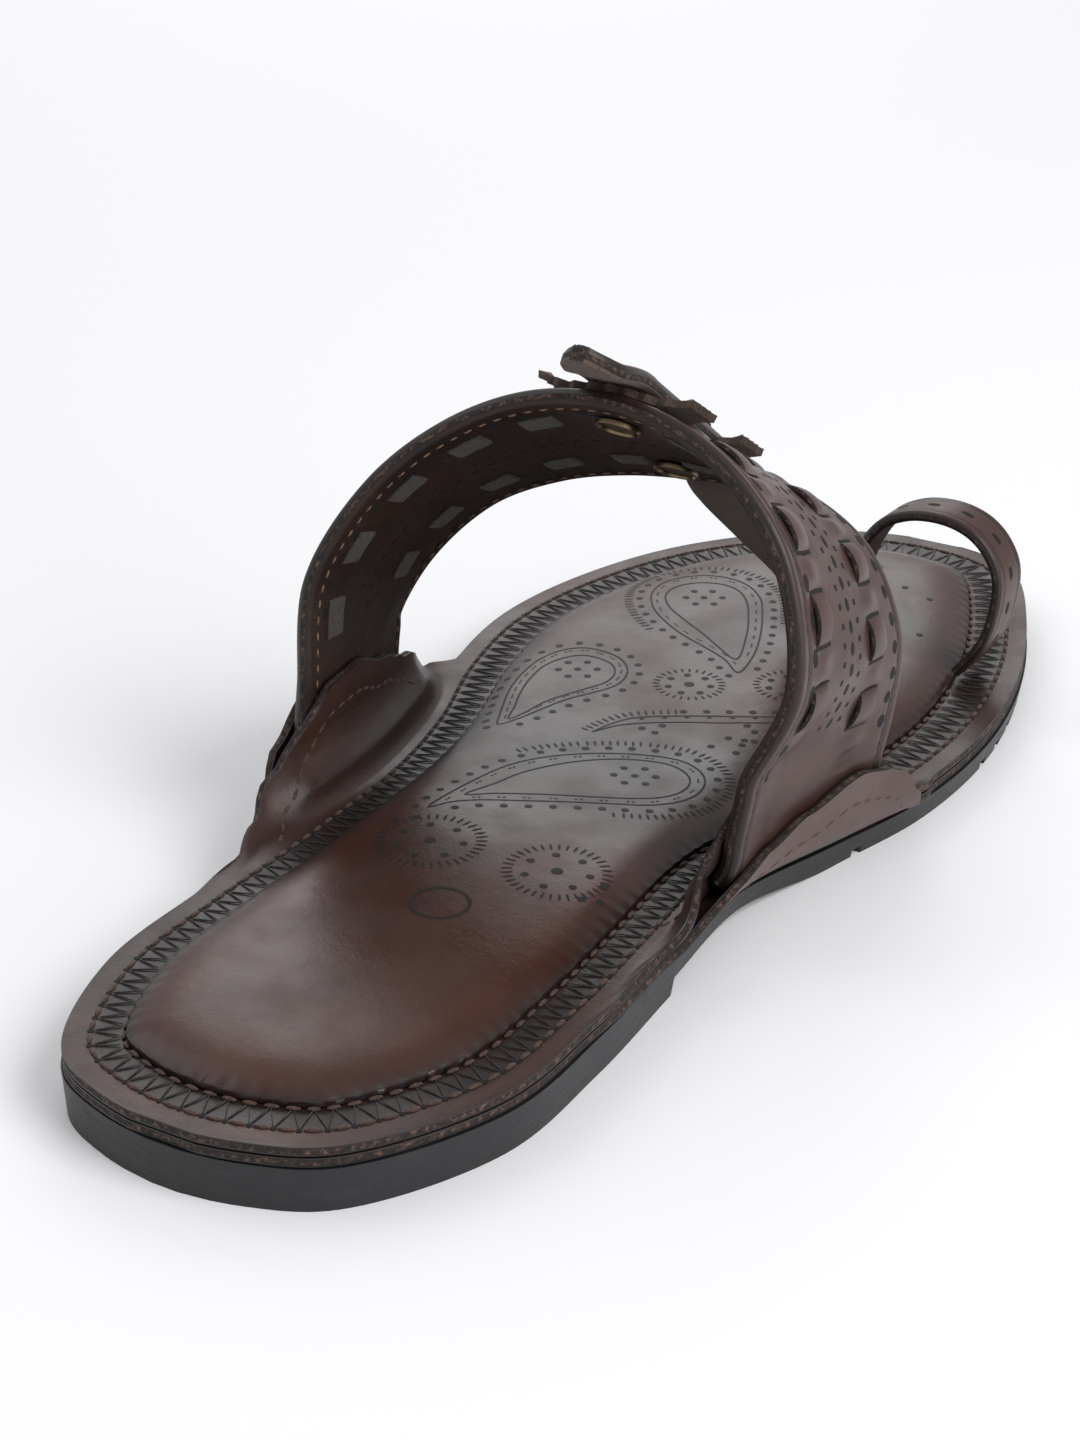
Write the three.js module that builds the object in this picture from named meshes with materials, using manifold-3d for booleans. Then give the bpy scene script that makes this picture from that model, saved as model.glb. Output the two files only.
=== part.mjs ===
// Left kolhapuri sandal: a flat leather sandal with a padded footbed, an instep strap held between
// two layers of leather that rise as wings, a centre strap riveted on it and a loop for the big toe.
// Millimetres. +X is the medial (big toe) side, +Y points to the toe, +Z is up. The origin lies on
// the floor under the middle of the sole.
import * as THREE from "three";
import { mergeVertices } from "three/addons/utils/BufferGeometryUtils.js";
import Module from "manifold-3d";

const wasm = await Module();
wasm.setup();

// Sole
const soleLength = 287.2;
const heelTopHeight = 11.8;
const forefootTopHeight = 8.5;
const heelSlopeStart = -50;
const heelSlopeLength = 65;
const toeSpring = 1.4;
const toeSpringStart = 48;
const heelBreast = -53.5;
const heelStep = 3;
const waistEnd = -28;
const ballStart = 4;
const edgeDraft = 0.7;
const treadDepth = 1.5;
const treadWidth = 2.6;
const treadPitch = 9;
const treadMargin = 3;
const firstForeTread = 10;
const openTreadStart = 50;

// Leather layers
const gap = 0.3;
const leather = 1.6;
const edgeInset = 0.4;
const facetTolerance = 0.02;
const sweepStart = 2.5;
const bendSteps = 7;
const turnOfFullLift = 0.6;
const seatGap = 0.5;
const seatMargin = 3.5;
const seatClose = 14;

// Padded insole
const padInset = 10.7;
const padForefootInset = 13;
const padEdge = 0.9;
const padCrown = 3.1;
const padShoulder = 5;

// Straps
const strapThickness = 3.2;
const strapWidth = 45;
const loopWidth = 10;
const loopThickness = 2.2;
const centreThickness = 3;
const thongWidth = 5.4;
const thongLength = 9.2;
const thongRise = 1.3;
const thongPitch = 15.2;
const thongsInRow = 10;
const hiddenReach = 13;
const firstThong = 36.6;
const slitLength = 1.3;
const rowPlaces = [0.2, 0.72];

// Ornament and rivets
const fringeLength = 25;
const fringeWidth = 14;
const fringeThickness = 1.4;
const fringeLift = 3.4;
const fringeHeld = 0.5;
const pinkDepth = 1.1;
const centreLift = 2.1;
const centrePlace = 104.1;
const fringePlaces = [0.2, 0.785];
const rivetRadius = 4.3;
const rivetThickness = 0.8;
const shankRadius = 1.5;
const capRise = 1.1;

// Turns rows of numbers under named columns into objects.
function table(columns, rows) {
  return rows.map((row) => Object.fromEntries(columns.map((name, i) => [name, row[i]])));
}

// Half widths of the sole on its lateral (left) and medial (right) side, from heel to toe.
const soleStations = table(["along", "lateral", "medial"], [
  [-141.3, 14.5, 14.0],
  [-134.8, 26.6, 26.7],
  [-109.5, 37.0, 41.2],
  [-82.0, 37.8, 43.2],
  [-53.5, 37.0, 42.3],
  [-25.5, 38.6, 41.4],
  [2.5, 44.7, 47.4],
  [29.5, 53.0, 54.5],
  [57.5, 56.8, 56.5],
  [85.5, 52.2, 53.1],
  [112.0, 40.1, 45.0],
  [134.5, 18.5, 34.0],
  [141.2, 4.5, 25.0],
]);
const toeTip = 10;

// How far the leather is folded up beside the foot, and how high its two wings reach.
const wingStations = {
  medial: table(["along", "fold", "outer", "inner"], [
    [-90, 0, 0.55, 0.55],
    [-62, 0.5, 1.2, 1.6],
    [-44, 1, 3.3, 8],
    [-34, 1, 6, 14],
    [-25, 1, 10, 18.5],
    [-14, 1, 13.5, 20.5],
    [0, 1, 17.5, 19.5],
    [8, 1, 15.8, 16.5],
    [13, 1, 13.8, 14.2],
    [19, 0.9, 8, 8.4],
    [24, 0.5, 2.4, 2.6],
    [34, 0, 0.55, 0.55],
  ]),
  lateral: table(["along", "fold", "outer", "inner"], [
    [-84, 0, 0.28, 0.28],
    [-70, 0.5, 0.7, 0.9],
    [-60, 1, 2.4, 4.2],
    [-52, 1, 6.8, 10.5],
    [-44, 1, 13.5, 19.5],
    [-34, 1, 20.5, 25.5],
    [-24, 1, 22, 26],
    [-10, 1, 19.5, 22],
    [-2, 1, 16.5, 19.2],
    [6, 1, 13, 15.2],
    [14, 1, 8.5, 10.2],
    [21, 0.7, 3, 3.8],
    [32, 0, 0.28, 0.28],
  ]),
};

// The sweep that both wings and the ends of the instep strap follow on each side.
const sweeps = {
  medial: { sign: 1, flare: 6.5, height: 14, lean: 0.17, rear: -36, front: 8.7 },
  lateral: { sign: -1, flare: 10.9, height: 16, lean: -0.1, rear: -40.5, front: 4.2 },
};
const seatHeights = [3.4, 6.5, 10, 14, 18, 22, 26];

// Outer face of the instep strap above the wings, from the medial to the lateral side.
const archStations = table(["rearX", "rearY", "rearZ", "frontX", "frontY", "frontZ"], [
  [54.9, -35.8, 53.6, 55.6, 8.8, 47.6],
  [50.0, -32.0, 75.0, 47.7, 11.1, 62.1],
  [38.3, -27.8, 87.3, 36.0, 13.0, 68.8],
  [24.2, -25.0, 94.0, 23.6, 13.6, 70.9],
  [9.2, -23.8, 95.9, 10.6, 13.4, 70.5],
  [-5.8, -24.7, 93.5, -3.1, 13.0, 68.9],
  [-20.4, -27.6, 86.3, -17.4, 12.0, 65.3],
  [-34.1, -32.4, 73.6, -32.2, 9.7, 58.1],
  [-44.7, -37.6, 53.4, -45.2, 6.6, 44.8],
]);

// Rear edge of the toe loop's outer face, from its medial foot over the toe to its inner foot.
const loopStations = table(["across", "along", "rise"], [
  [42.8, 75.5, 9.8],
  [48.0, 74.9, 17.5],
  [50.1, 74.7, 24.4],
  [50.4, 74.5, 33.7],
  [47.6, 74.6, 39.3],
  [43.6, 74.9, 42.7],
  [38.8, 75.4, 44.3],
  [33.2, 76.0, 44.5],
  [27.2, 76.9, 43.1],
  [21.0, 78.1, 39.2],
  [15.1, 79.8, 29.7],
  [12.2, 81.3, 18.0],
  [10.2, 82.6, 9.9],
]);

// Under face of the centre strap: its curled tip behind the instep strap, and its free run to the
// pad. The stretch between them lies on the instep strap.
const tipStations = table(["across", "along", "rise", "half"], [
  [10.5, -35.5, 104.6, 1.4],
  [10.4, -33.2, 102.6, 4.2],
  [10.4, -29.5, 100.2, 6.0],
]);
const ridingStations = table(["place", "half"], [
  [0.04, 6.8],
  [0.2, 6.8],
  [0.4, 6.5],
  [0.6, 6.2],
  [0.785, 5.9],
  [0.9, 5.6],
  [0.98, 5.5],
]);
const freeStations = table(["across", "along", "rise", "half"], [
  [9.9, 17.6, 68.9, 5.4],
  [9.7, 20.9, 63.0, 5.3],
  [9.6, 27.0, 57.4, 5.2],
  [9.6, 38.0, 48.8, 5.2],
  [9.6, 50.0, 39.6, 5.1],
  [9.7, 62.0, 30.2, 5.0],
  [9.8, 72.0, 21.0, 4.8],
  [9.9, 80.0, 13.4, 4.5],
  [10.0, 84.5, 10.9, 4.2],
]);

const clamp = (value) => Math.min(1, Math.max(0, value));
const smooth = (value) => clamp(value) ** 2 * (3 - 2 * clamp(value));
const mix = (a, b, t) => a + (b - a) * t;
const range = (count) => Array.from({ length: count }, (_, i) => i);
const spread = (from, to, count) => range(count).map((i) => mix(from, to, i / (count - 1)));

// Eases every column of a table between its rows, and holds the end rows outside them.
function readTable(rows, along) {
  const next = rows.findIndex((row) => row.along > along);
  if (next < 1) {
    return next === 0 ? rows[0] : rows[rows.length - 1];
  }
  const [a, b] = [rows[next - 1], rows[next]];
  const t = smooth((along - a.along) / (b.along - a.along));
  return Object.fromEntries(Object.keys(a).map((name) => [name, mix(a[name], b[name], t)]));
}

// Closed outline of the sole as seen from above.
const outline = new THREE.CatmullRomCurve3([
  new THREE.Vector3(0, -soleLength / 2, 0),
  ...soleStations.map((row) => new THREE.Vector3(row.medial, row.along, 0)),
  new THREE.Vector3(toeTip, soleLength / 2, 0),
  ...[...soleStations].reverse().map((row) => new THREE.Vector3(-row.lateral, row.along, 0)),
], true, "centripetal").getSpacedPoints(360);

// Outline moved inwards by a distance that may change from point to point.
function insetOutline(distanceAt) {
  const count = outline.length - 1;
  return range(count).map((i) => {
    const before = outline[(i + count - 2) % count];
    const after = outline[(i + 2) % count];
    const inward = new THREE.Vector3(before.y - after.y, after.x - before.x, 0).normalize();
    return outline[i].clone().addScaledVector(inward, distanceAt(outline[i]));
  });
}

// Left and right end of a closed outline on the line at one place along the foot.
function spanAt(points, along) {
  const crossings = [];
  points.forEach((a, i) => {
    const b = points[(i + 1) % points.length];
    if ((a.y - along) * (b.y - along) <= 0 && a.y !== b.y) {
      crossings.push(mix(a.x, b.x, (along - a.y) / (b.y - a.y)));
    }
  });
  return { left: Math.min(...crossings), right: Math.max(...crossings) };
}

// Places along the foot, closer together towards the rounded ends of an outline.
function stationsOf(points, count, extra = []) {
  const places = points.map((point) => point.y);
  const [low, high] = [Math.min(...places), Math.max(...places)];
  const middle = (low + high) / 2;
  const reach = (high - low) / 2 - 0.15;
  const even = range(count).map((i) => {
    const turn = Math.PI * (i / (count - 1));
    return middle - reach * (0.55 * Math.cos(turn) + 0.45 * (1 - (2 * i) / (count - 1)));
  });
  return [...even, ...extra].sort((a, b) => a - b);
}

function footbedTop(along) {
  const heel = 1 - smooth((along - heelSlopeStart) / heelSlopeLength);
  const spring = toeSpring * clamp((along - toeSpringStart) / (soleLength / 2 - toeSpringStart)) ** 2;
  return mix(forefootTopHeight, heelTopHeight, heel) + spring;
}

function treadHeight(along) {
  if (along <= heelBreast) {
    return 0;
  }
  const waist = heelStep * (1 - smooth((along - waistEnd) / (ballStart - waistEnd)));
  const spring = toeSpring * clamp((along - toeSpringStart) / (soleLength / 2 - toeSpringStart)) ** 2;
  return waist + spring;
}

const coverBottom = (along) => footbedTop(along) - leather;
const lowerBottom = (along) => coverBottom(along) - gap - leather;
const outsoleTop = (along) => lowerBottom(along) - gap;

// Closes two grids of equal size, an upper and a lower face, into one solid.
function shell(topGrid, bottomGrid) {
  const rows = topGrid.length;
  const columns = topGrid[0].length;
  const positions = [];
  const faces = [];
  [topGrid, bottomGrid].forEach((grid) => grid.flat().forEach((p) => positions.push(p.x, p.y, p.z)));
  const index = (layer, row, column) => layer * rows * columns + row * columns + column;
  const quad = (a, b, c, d) => faces.push(a, b, c, a, c, d);
  for (let row = 0; row + 1 < rows; row += 1) {
    for (let column = 0; column + 1 < columns; column += 1) {
      const top = [[0, 0], [0, 1], [1, 1], [1, 0]].map(([r, c]) => index(0, row + r, column + c));
      const low = [[0, 0], [1, 0], [1, 1], [0, 1]].map(([r, c]) => index(1, row + r, column + c));
      quad(...top);
      quad(...low);
    }
    const last = columns - 1;
    quad(index(0, row, 0), index(0, row + 1, 0), index(1, row + 1, 0), index(1, row, 0));
    quad(index(0, row + 1, last), index(0, row, last), index(1, row, last), index(1, row + 1, last));
  }
  for (let column = 0; column + 1 < columns; column += 1) {
    const last = rows - 1;
    const [left, right] = [column, column + 1];
    quad(index(0, 0, right), index(0, 0, left), index(1, 0, left), index(1, 0, right));
    quad(index(0, last, left), index(0, last, right), index(1, last, right), index(1, last, left));
  }
  const geometry = new THREE.BufferGeometry();
  geometry.setAttribute("position", new THREE.Float32BufferAttribute(positions, 3));
  geometry.setIndex(faces);
  return toSolid(geometry);
}

// A three.js geometry as a solid that can be joined and cut.
function toSolid(geometry) {
  const bare = geometry.clone();
  bare.deleteAttribute("normal");
  bare.deleteAttribute("uv");
  const merged = mergeVertices(bare, 1e-5);
  const solid = new wasm.Manifold(new wasm.Mesh({
    numProp: 3,
    vertProperties: new Float32Array(merged.attributes.position.array),
    triVerts: new Uint32Array(merged.index.array),
  }));
  return solid.volume() < 0 ? flipped(merged) : solid;
}

function flipped(merged) {
  const corners = Uint32Array.from(merged.index.array);
  for (let i = 0; i < corners.length; i += 3) {
    [corners[i], corners[i + 1]] = [corners[i + 1], corners[i]];
  }
  return new wasm.Manifold(new wasm.Mesh({
    numProp: 3,
    vertProperties: new Float32Array(merged.attributes.position.array),
    triVerts: corners,
  }));
}

function toGeometry(solid) {
  const mesh = solid.simplify(facetTolerance).getMesh();
  const geometry = new THREE.BufferGeometry();
  geometry.setAttribute("position", new THREE.BufferAttribute(new Float32Array(mesh.vertProperties), 3));
  geometry.setIndex(new THREE.BufferAttribute(new Uint32Array(mesh.triVerts), 1));
  geometry.computeVertexNormals();
  return geometry;
}

// Outsole: flat heel with a step at its front, a waist clear of the floor, and a toe that springs.
function makeOutsole() {
  const places = stationsOf(outline, 46, [heelBreast - 0.01, heelBreast + 0.01]);
  const top = [];
  const bottom = [];
  places.forEach((along) => {
    const span = spanAt(outline, along);
    const draft = Math.min(edgeDraft, (span.right - span.left) / 8);
    top.push(spread(span.left, span.right, 3).map((x) => new THREE.Vector3(x, along, outsoleTop(along))));
    bottom.push(spread(span.left + draft, span.right - draft, 3)
      .map((x) => new THREE.Vector3(x, along, treadHeight(along))));
  });
  let solid = shell(top, bottom);
  treadCuts().forEach((cut) => {
    solid = solid.subtract(cut);
  });
  return solid;
}

// Straight grooves under heel and forefoot. Most stop short of the sole's edge. The first one of the
// forefoot and those near the toe run out and show as notches.
function treadCuts() {
  const heelGrooves = spread(-soleLength / 2 + treadPitch, heelBreast - treadPitch, 9);
  const foreGrooves = spread(firstForeTread, soleLength / 2 - treadPitch, 14);
  return [...heelGrooves, ...foreGrooves].map((along) => {
    const span = spanAt(outline, along);
    const open = along === firstForeTread || along > openTreadStart;
    const length = span.right - span.left + 2 * (open ? treadMargin : -treadMargin);
    const box = new THREE.BoxGeometry(length, treadWidth, 2 * treadDepth);
    box.translate((span.left + span.right) / 2, along, treadHeight(along));
    return toSolid(box);
  });
}

// Point and inward direction on the sweep of one side, at a turn of the bend or above it.
function sweepPoint(side, along, fold, turn, above) {
  const { sign, flare, height, lean } = sweeps[side];
  const span = spanAt(outline, along);
  const edge = (sign > 0 ? span.right : -span.left) - edgeInset;
  const reach = sweepStart + flare;
  const rise = height * fold;
  const x = edge - sweepStart + reach * Math.sin(turn) + lean * above * fold;
  const z = lowerBottom(along) + rise * (1 - Math.cos(turn)) + above * fold;
  const tangent = above > 0
    ? new THREE.Vector2(lean, 1).normalize()
    : new THREE.Vector2(reach * Math.cos(turn) + 0.001, rise * Math.sin(turn)).normalize();
  return { x, z, inward: new THREE.Vector2(-tangent.y, tangent.x), edge };
}

// How far each sheet lies above the sweep: on the sole, on a closed wing, and around the strap.
const lowerLifts = { flat: 0, closed: 0, open: 0 };
const coverLifts = {
  flat: leather + gap,
  closed: leather + seatGap,
  open: leather + strapThickness + 2 * seatGap,
};

// Half of a leather sheet's section: from the sole's middle out to the tip of its wing.
function halfSection(side, along, wing, lifts, extra) {
  const { sign, height, rear, front } = sweeps[side];
  const fromRear = smooth((along - rear + seatMargin + seatClose) / seatClose);
  const fromFront = smooth((front + seatMargin + seatClose - along) / seatClose);
  const wallLift = mix(lifts.closed, lifts.open, fromRear * fromFront);
  const row = readTable(wingStations[side], along);
  const tip = row[wing];
  const bent = Math.acos(1 - Math.min(1, tip / height));
  const reached = bent + Math.max(0, tip / height - 1);
  return spread(0, reached, bendSteps + 1).map((part) => {
    const turn = Math.min(part, Math.PI / 2);
    const at = sweepPoint(side, along, row.fold, turn, (part - turn) * height);
    const offset = extra + mix(lifts.flat, wallLift, smooth(turn / turnOfFullLift));
    return new THREE.Vector3(sign * (at.x + at.inward.x * offset), along, at.z + at.inward.y * offset);
  });
}

// A sheet of leather as wide as the sole, with a wing on each side.
function makeSheet(wing, lifts) {
  const inset = insetOutline(() => edgeInset);
  const wings = spread(-88, 33, 20);
  const ends = stationsOf(inset, 30).filter((along) => along < -92 || along > 37);
  const places = [...ends, ...wings].sort((a, b) => a - b);
  const sectionAt = (along, extra) => {
    const base = lowerBottom(along) + lifts.flat + extra;
    const half = (side) => halfSection(side, along, wing, lifts, extra);
    const span = spanAt(outline, along);
    const narrow = Math.min(1, (span.right - span.left) / (4 * sweepStart));
    if (narrow < 1) {
      const width = span.right - span.left - 2 * edgeInset * narrow;
      const middle = (span.left + span.right) / 2;
      return spread(-width / 2, width / 2, 2 * bendSteps + 3)
        .map((x) => new THREE.Vector3(middle + x, along, base));
    }
    const middle = new THREE.Vector3((span.left + span.right) / 2, along, base);
    return [...half("lateral").reverse(), middle, ...half("medial")];
  };
  return shell(places.map((along) => sectionAt(along, leather)), places.map((along) => sectionAt(along, 0)));
}

// The padded insole: a crowned cushion that lies on the footbed leather inside the stitched band.
function makePad() {
  const rim = insetOutline((point) => {
    const fore = smooth((point.y + 40) / 80);
    return mix(padInset, padForefootInset, fore);
  });
  const places = stationsOf(rim, 33);
  const columns = 9;
  const rimDistance = (x, y) => Math.min(...rim.map((point) => Math.hypot(point.x - x, point.y - y)));
  const top = [];
  const bottom = [];
  places.forEach((along) => {
    const span = spanAt(rim, along);
    const middle = (span.left + span.right) / 2;
    const half = (span.right - span.left) / 2;
    const across = range(columns).map((i) => middle + half * Math.sin((i / (columns - 1) - 0.5) * Math.PI));
    const base = footbedTop(along) + gap;
    bottom.push(across.map((x) => new THREE.Vector3(x, along, base)));
    top.push(across.map((x) => {
      const rise = 1 - Math.exp(-rimDistance(x, along) / padShoulder);
      return new THREE.Vector3(x, along, base + padEdge + padCrown * rise);
    }));
  });
  return shell(top, bottom);
}

// Edge-to-edge rows of the instep strap's outer face: seated between the wings, then free.
function strapRows() {
  const columns = 5;
  const seat = (side) => seatHeights.map((level) => {
    const { sign, rear, front, height } = sweeps[side];
    return spread(rear, front, columns).map((along) => {
      const turn = Math.acos(1 - Math.min(1, level / height));
      const at = sweepPoint(side, along, 1, turn, Math.max(0, level - height));
      const offset = leather + seatGap;
      return new THREE.Vector3(sign * (at.x + at.inward.x * offset), along, at.z + at.inward.y * offset);
    });
  });
  const arch = archStations.map((row) => {
    const rear = new THREE.Vector3(row.rearX, row.rearY, row.rearZ);
    const front = new THREE.Vector3(row.frontX, row.frontY, row.frontZ);
    return spread(0, 1, columns).map((t) => rear.clone().lerp(front, t));
  });
  return [...seat("medial"), ...arch, ...seat("lateral").reverse()];
}

// A smooth surface through rows of points, read by distance along it and place across it (0 to 1).
function makeSurface(rows) {
  const curves = rows[0].map((_, column) => {
    const line = rows.map((row) => row[column]);
    return new THREE.CatmullRomCurve3(line, false, "centripetal");
  });
  const across = (t, place) => {
    const points = curves.map((curve) => curve.getPoint(clamp(t)));
    const at = clamp(place) * (points.length - 1);
    const low = Math.min(points.length - 2, Math.floor(at));
    return points[low].lerp(points[low + 1], place * (points.length - 1) - low);
  };
  const samples = spread(0, 1, 240).map((t) => across(t, 0.5));
  const lengths = [0];
  samples.slice(1).forEach((point, i) => lengths.push(lengths[i] + point.distanceTo(samples[i])));
  const total = lengths[lengths.length - 1];
  const turnAt = (distance) => {
    const next = Math.max(1, lengths.findIndex((value) => value >= Math.min(distance, total)));
    const part = (Math.min(distance, total) - lengths[next - 1]) / (lengths[next] - lengths[next - 1]);
    return (next - 1 + part) / (samples.length - 1);
  };
  const pointAt = (distance, place, rise = 0) => {
    const t = turnAt(distance);
    const step = 0.004;
    const ahead = across(Math.min(1, t + step), place).sub(across(Math.max(0, t - step), place));
    const sideways = across(t, place + 0.05).sub(across(t, place - 0.05));
    const normal = sideways.cross(ahead).normalize();
    return across(t, place).addScaledVector(normal, rise);
  };
  const normalAt = (distance, place) => pointAt(distance, place, 1).sub(pointAt(distance, place));
  return { total, pointAt, normalAt };
}

const strap = makeSurface(strapRows());

// A patch of the instep strap between two distances and two places, from one rise to another.
function strapPatch(distances, places, riseTop, riseBottom) {
  const grid = (rise) => distances.map((distance, i) => places.map((place) => {
    const end = i === 0 || i === distances.length - 1;
    return strap.pointAt(distance, place, rise(end));
  }));
  return shell(grid(riseTop), grid(riseBottom));
}

// Where the woven thong comes out of the instep strap: two rows, half a pitch apart, left out where
// the pinked pieces cover it.
function thongCentres() {
  return rowPlaces.flatMap((place, row) => range(thongsInRow).map((i) => ({
    place,
    distance: firstThong + thongPitch * (i - row / 2),
  }))).filter(({ distance }) => Math.abs(distance - centrePlace) > hiddenReach);
}

function makeInstepStrap() {
  let solid = strapPatch(spread(0, strap.total, 43), spread(0, 1, 5), () => 0, () => -strapThickness);
  const halfPlace = thongWidth / 2 / strapWidth;
  thongCentres().forEach(({ place, distance }) => {
    const places = [place - halfPlace, place + halfPlace];
    const stretch = spread(distance - thongLength / 2, distance + thongLength / 2, 5);
    const raised = strapPatch(stretch, places, (end) => (end ? 0.25 : thongRise), () => -strapThickness / 2);
    solid = solid.add(raised);
    [-1, 1].forEach((end) => {
      const from = distance + end * (thongLength / 2 + 0.1);
      const slitEnds = [from, from + end * slitLength].sort((a, b) => a - b);
      const slit = strapPatch(slitEnds, places, () => thongRise, () => -strapThickness - 1);
      solid = solid.subtract(slit);
    });
  });
  return solid;
}

// A flat strap along a row of stations, each with a middle, a half width and its own directions.
function makeBand(stations, thickness) {
  const columns = spread(-1, 1, 3);
  const grid = (rise) => stations.map((at) => columns.map((side) => at.middle.clone()
    .addScaledVector(at.across, side * at.half)
    .addScaledVector(at.normal, rise)));
  return shell(grid(thickness), grid(0));
}

// The centre strap: curled tip, stretch on the instep strap, then down between the first two toes.
function makeCentreStrap() {
  const acrossFoot = new THREE.Vector3(1, 0, 0);
  const riding = ridingStations.map((row) => ({
    middle: strap.pointAt(centrePlace, row.place, centreLift),
    half: row.half,
  }));
  const loose = (rows) => rows.map((row) => ({
    middle: new THREE.Vector3(row.across, row.along, row.rise),
    half: row.half,
  }));
  const stations = [...loose(tipStations), ...riding, ...loose(freeStations)];
  stations.forEach((at, i) => {
    const before = stations[Math.max(0, i - 1)].middle;
    const after = stations[Math.min(stations.length - 1, i + 1)].middle;
    at.across = acrossFoot;
    at.normal = acrossFoot.clone().cross(after.clone().sub(before)).normalize();
  });
  const seat = spread(centrePlace - 4, centrePlace + 4, 3);
  const glued = strapPatch(seat, [0.44, 0.54], () => centreLift + gap, () => -gap);
  return makeBand(stations, centreThickness).add(glued);
}

function makeToeLoop() {
  const rear = loopStations.map((row) => new THREE.Vector3(row.across, row.along, row.rise));
  const rows = rear.map((point) => [point, point.clone().add(new THREE.Vector3(0.9, loopWidth, 0.2))]);
  const loop = makeSurface(rows);
  const places = [0, 0.5, 1];
  const grid = (rise) => spread(0, loop.total, 25)
    .map((distance) => places.map((place) => loop.pointAt(distance, place, rise)));
  return shell(grid(0), grid(-loopThickness));
}

// A pinked leather piece under the centre strap, flatter than the strap so that its ends stand off.
function makeFringe(place) {
  const lengths = spread(-1, 1, 13);
  const widths = [-1, -0.4, 0.4, 1];
  const grid = (rise) => lengths.map((u, i) => widths.map((v) => {
    const outer = Math.abs(v) === 1;
    const tooth = i % 2 ? pinkDepth : -pinkDepth;
    const width = (fringeWidth / 2) * (1 - 0.25 * u * u) + (outer ? tooth / 2 : 0);
    const bite = !outer && Math.abs(u) === 1 ? Math.sign(u) * pinkDepth : 0;
    const length = (fringeLength / 2) * u + bite;
    const raised = clamp((Math.abs(u) - fringeHeld) / (1 - fringeHeld)) ** 2;
    const across = place + (width * v) / strapWidth;
    return strap.pointAt(centrePlace + length, across, 1.2 * gap + fringeLift * raised + rise);
  }));
  return shell(grid(fringeThickness), grid(0));
}

// A rivet: a flat disc inside, a shank through the layers and a low cap on the centre strap.
function makeRivet(place, clearance) {
  const inside = -strapThickness - 1.5 * gap;
  const outside = centreLift + centreThickness + 2 * gap;
  const profile = [
    [0, inside - rivetThickness],
    [rivetRadius, inside - rivetThickness],
    [rivetRadius, inside],
    [shankRadius, inside],
    [shankRadius, outside],
    [rivetRadius, outside],
    [rivetRadius * 0.75, outside + capRise * 0.7],
    [0, outside + capRise],
  ];
  const hole = [
    [0, inside - 2 * rivetThickness],
    [shankRadius + clearance, inside - 2 * rivetThickness],
    [shankRadius + clearance, outside + capRise],
    [0, outside + capRise],
  ];
  const points = (clearance ? hole : profile).map(([radius, height]) => new THREE.Vector2(radius, height));
  const lathe = new THREE.LatheGeometry(points, 16);
  const axis = strap.normalAt(centrePlace, place).normalize();
  lathe.applyQuaternion(new THREE.Quaternion().setFromUnitVectors(new THREE.Vector3(0, 1, 0), axis));
  const at = strap.pointAt(centrePlace, place);
  lathe.translate(at.x, at.y, at.z);
  return toSolid(lathe);
}

// Blocks that open the pad where the toe loop and the centre strap go down into it.
function padSlots() {
  return [
    { across: 42.1, along: 81.2, wide: 5, long: loopWidth + 3.2 },
    { across: 10.0, along: 86.2, wide: 11.4, long: 15.4 },
  ].map(({ across, along, wide, long }) => {
    const box = new THREE.BoxGeometry(wide, long, 20);
    box.translate(across, along, footbedTop(along));
    return toSolid(box);
  });
}

const leatherBrown = { color: 0x4a2c22, roughness: 0.42, metalness: 0 };
const looks = {
  rubber: { color: 0x1d1c1e, roughness: 0.75, metalness: 0 },
  edge: { color: 0x33241f, roughness: 0.6, metalness: 0 },
  leather: leatherBrown,
  pad: { color: 0x552f22, roughness: 0.35, metalness: 0 },
  trim: { color: 0x2e201b, roughness: 0.8, metalness: 0 },
  brass: { color: 0x8a7a5c, roughness: 0.35, metalness: 0.9 },
};

const rivetHoles = fringePlaces.map((place) => makeRivet(place, gap));
const cutByRivets = (solid) => rivetHoles.reduce((rest, hole) => rest.subtract(hole), solid);
const upper = cutByRivets(makeInstepStrap().add(makeCentreStrap())).add(makeToeLoop());
const pad = padSlots().reduce((rest, slot) => rest.subtract(slot), makePad());

const pieces = [
  ["outsole", makeOutsole(), looks.rubber],
  ["lower_leather", makeSheet("outer", lowerLifts), looks.edge],
  ["footbed_cover", makeSheet("inner", coverLifts), looks.leather],
  ["padded_insole", pad, looks.pad],
  ["upper", upper, looks.leather],
  ["pinked_fringe_rear", cutByRivets(makeFringe(fringePlaces[0])), looks.trim],
  ["pinked_fringe_front", cutByRivets(makeFringe(fringePlaces[1])), looks.trim],
  ["rivet_rear", makeRivet(fringePlaces[0], 0), looks.brass],
  ["rivet_front", makeRivet(fringePlaces[1], 0), looks.brass],
];

const sandal = new THREE.Group();
pieces.forEach(([name, solid, look]) => {
  const mesh = new THREE.Mesh(toGeometry(solid), new THREE.MeshStandardMaterial(look));
  mesh.name = name;
  sandal.add(mesh);
});

export default sandal;
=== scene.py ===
# Left kolhapuri sandal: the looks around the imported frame. Shapes are in millimetres until a mesh is made.
import math

import bmesh
import bpy
import numpy as np
from mathutils import Matrix, Vector, kdtree


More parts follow.
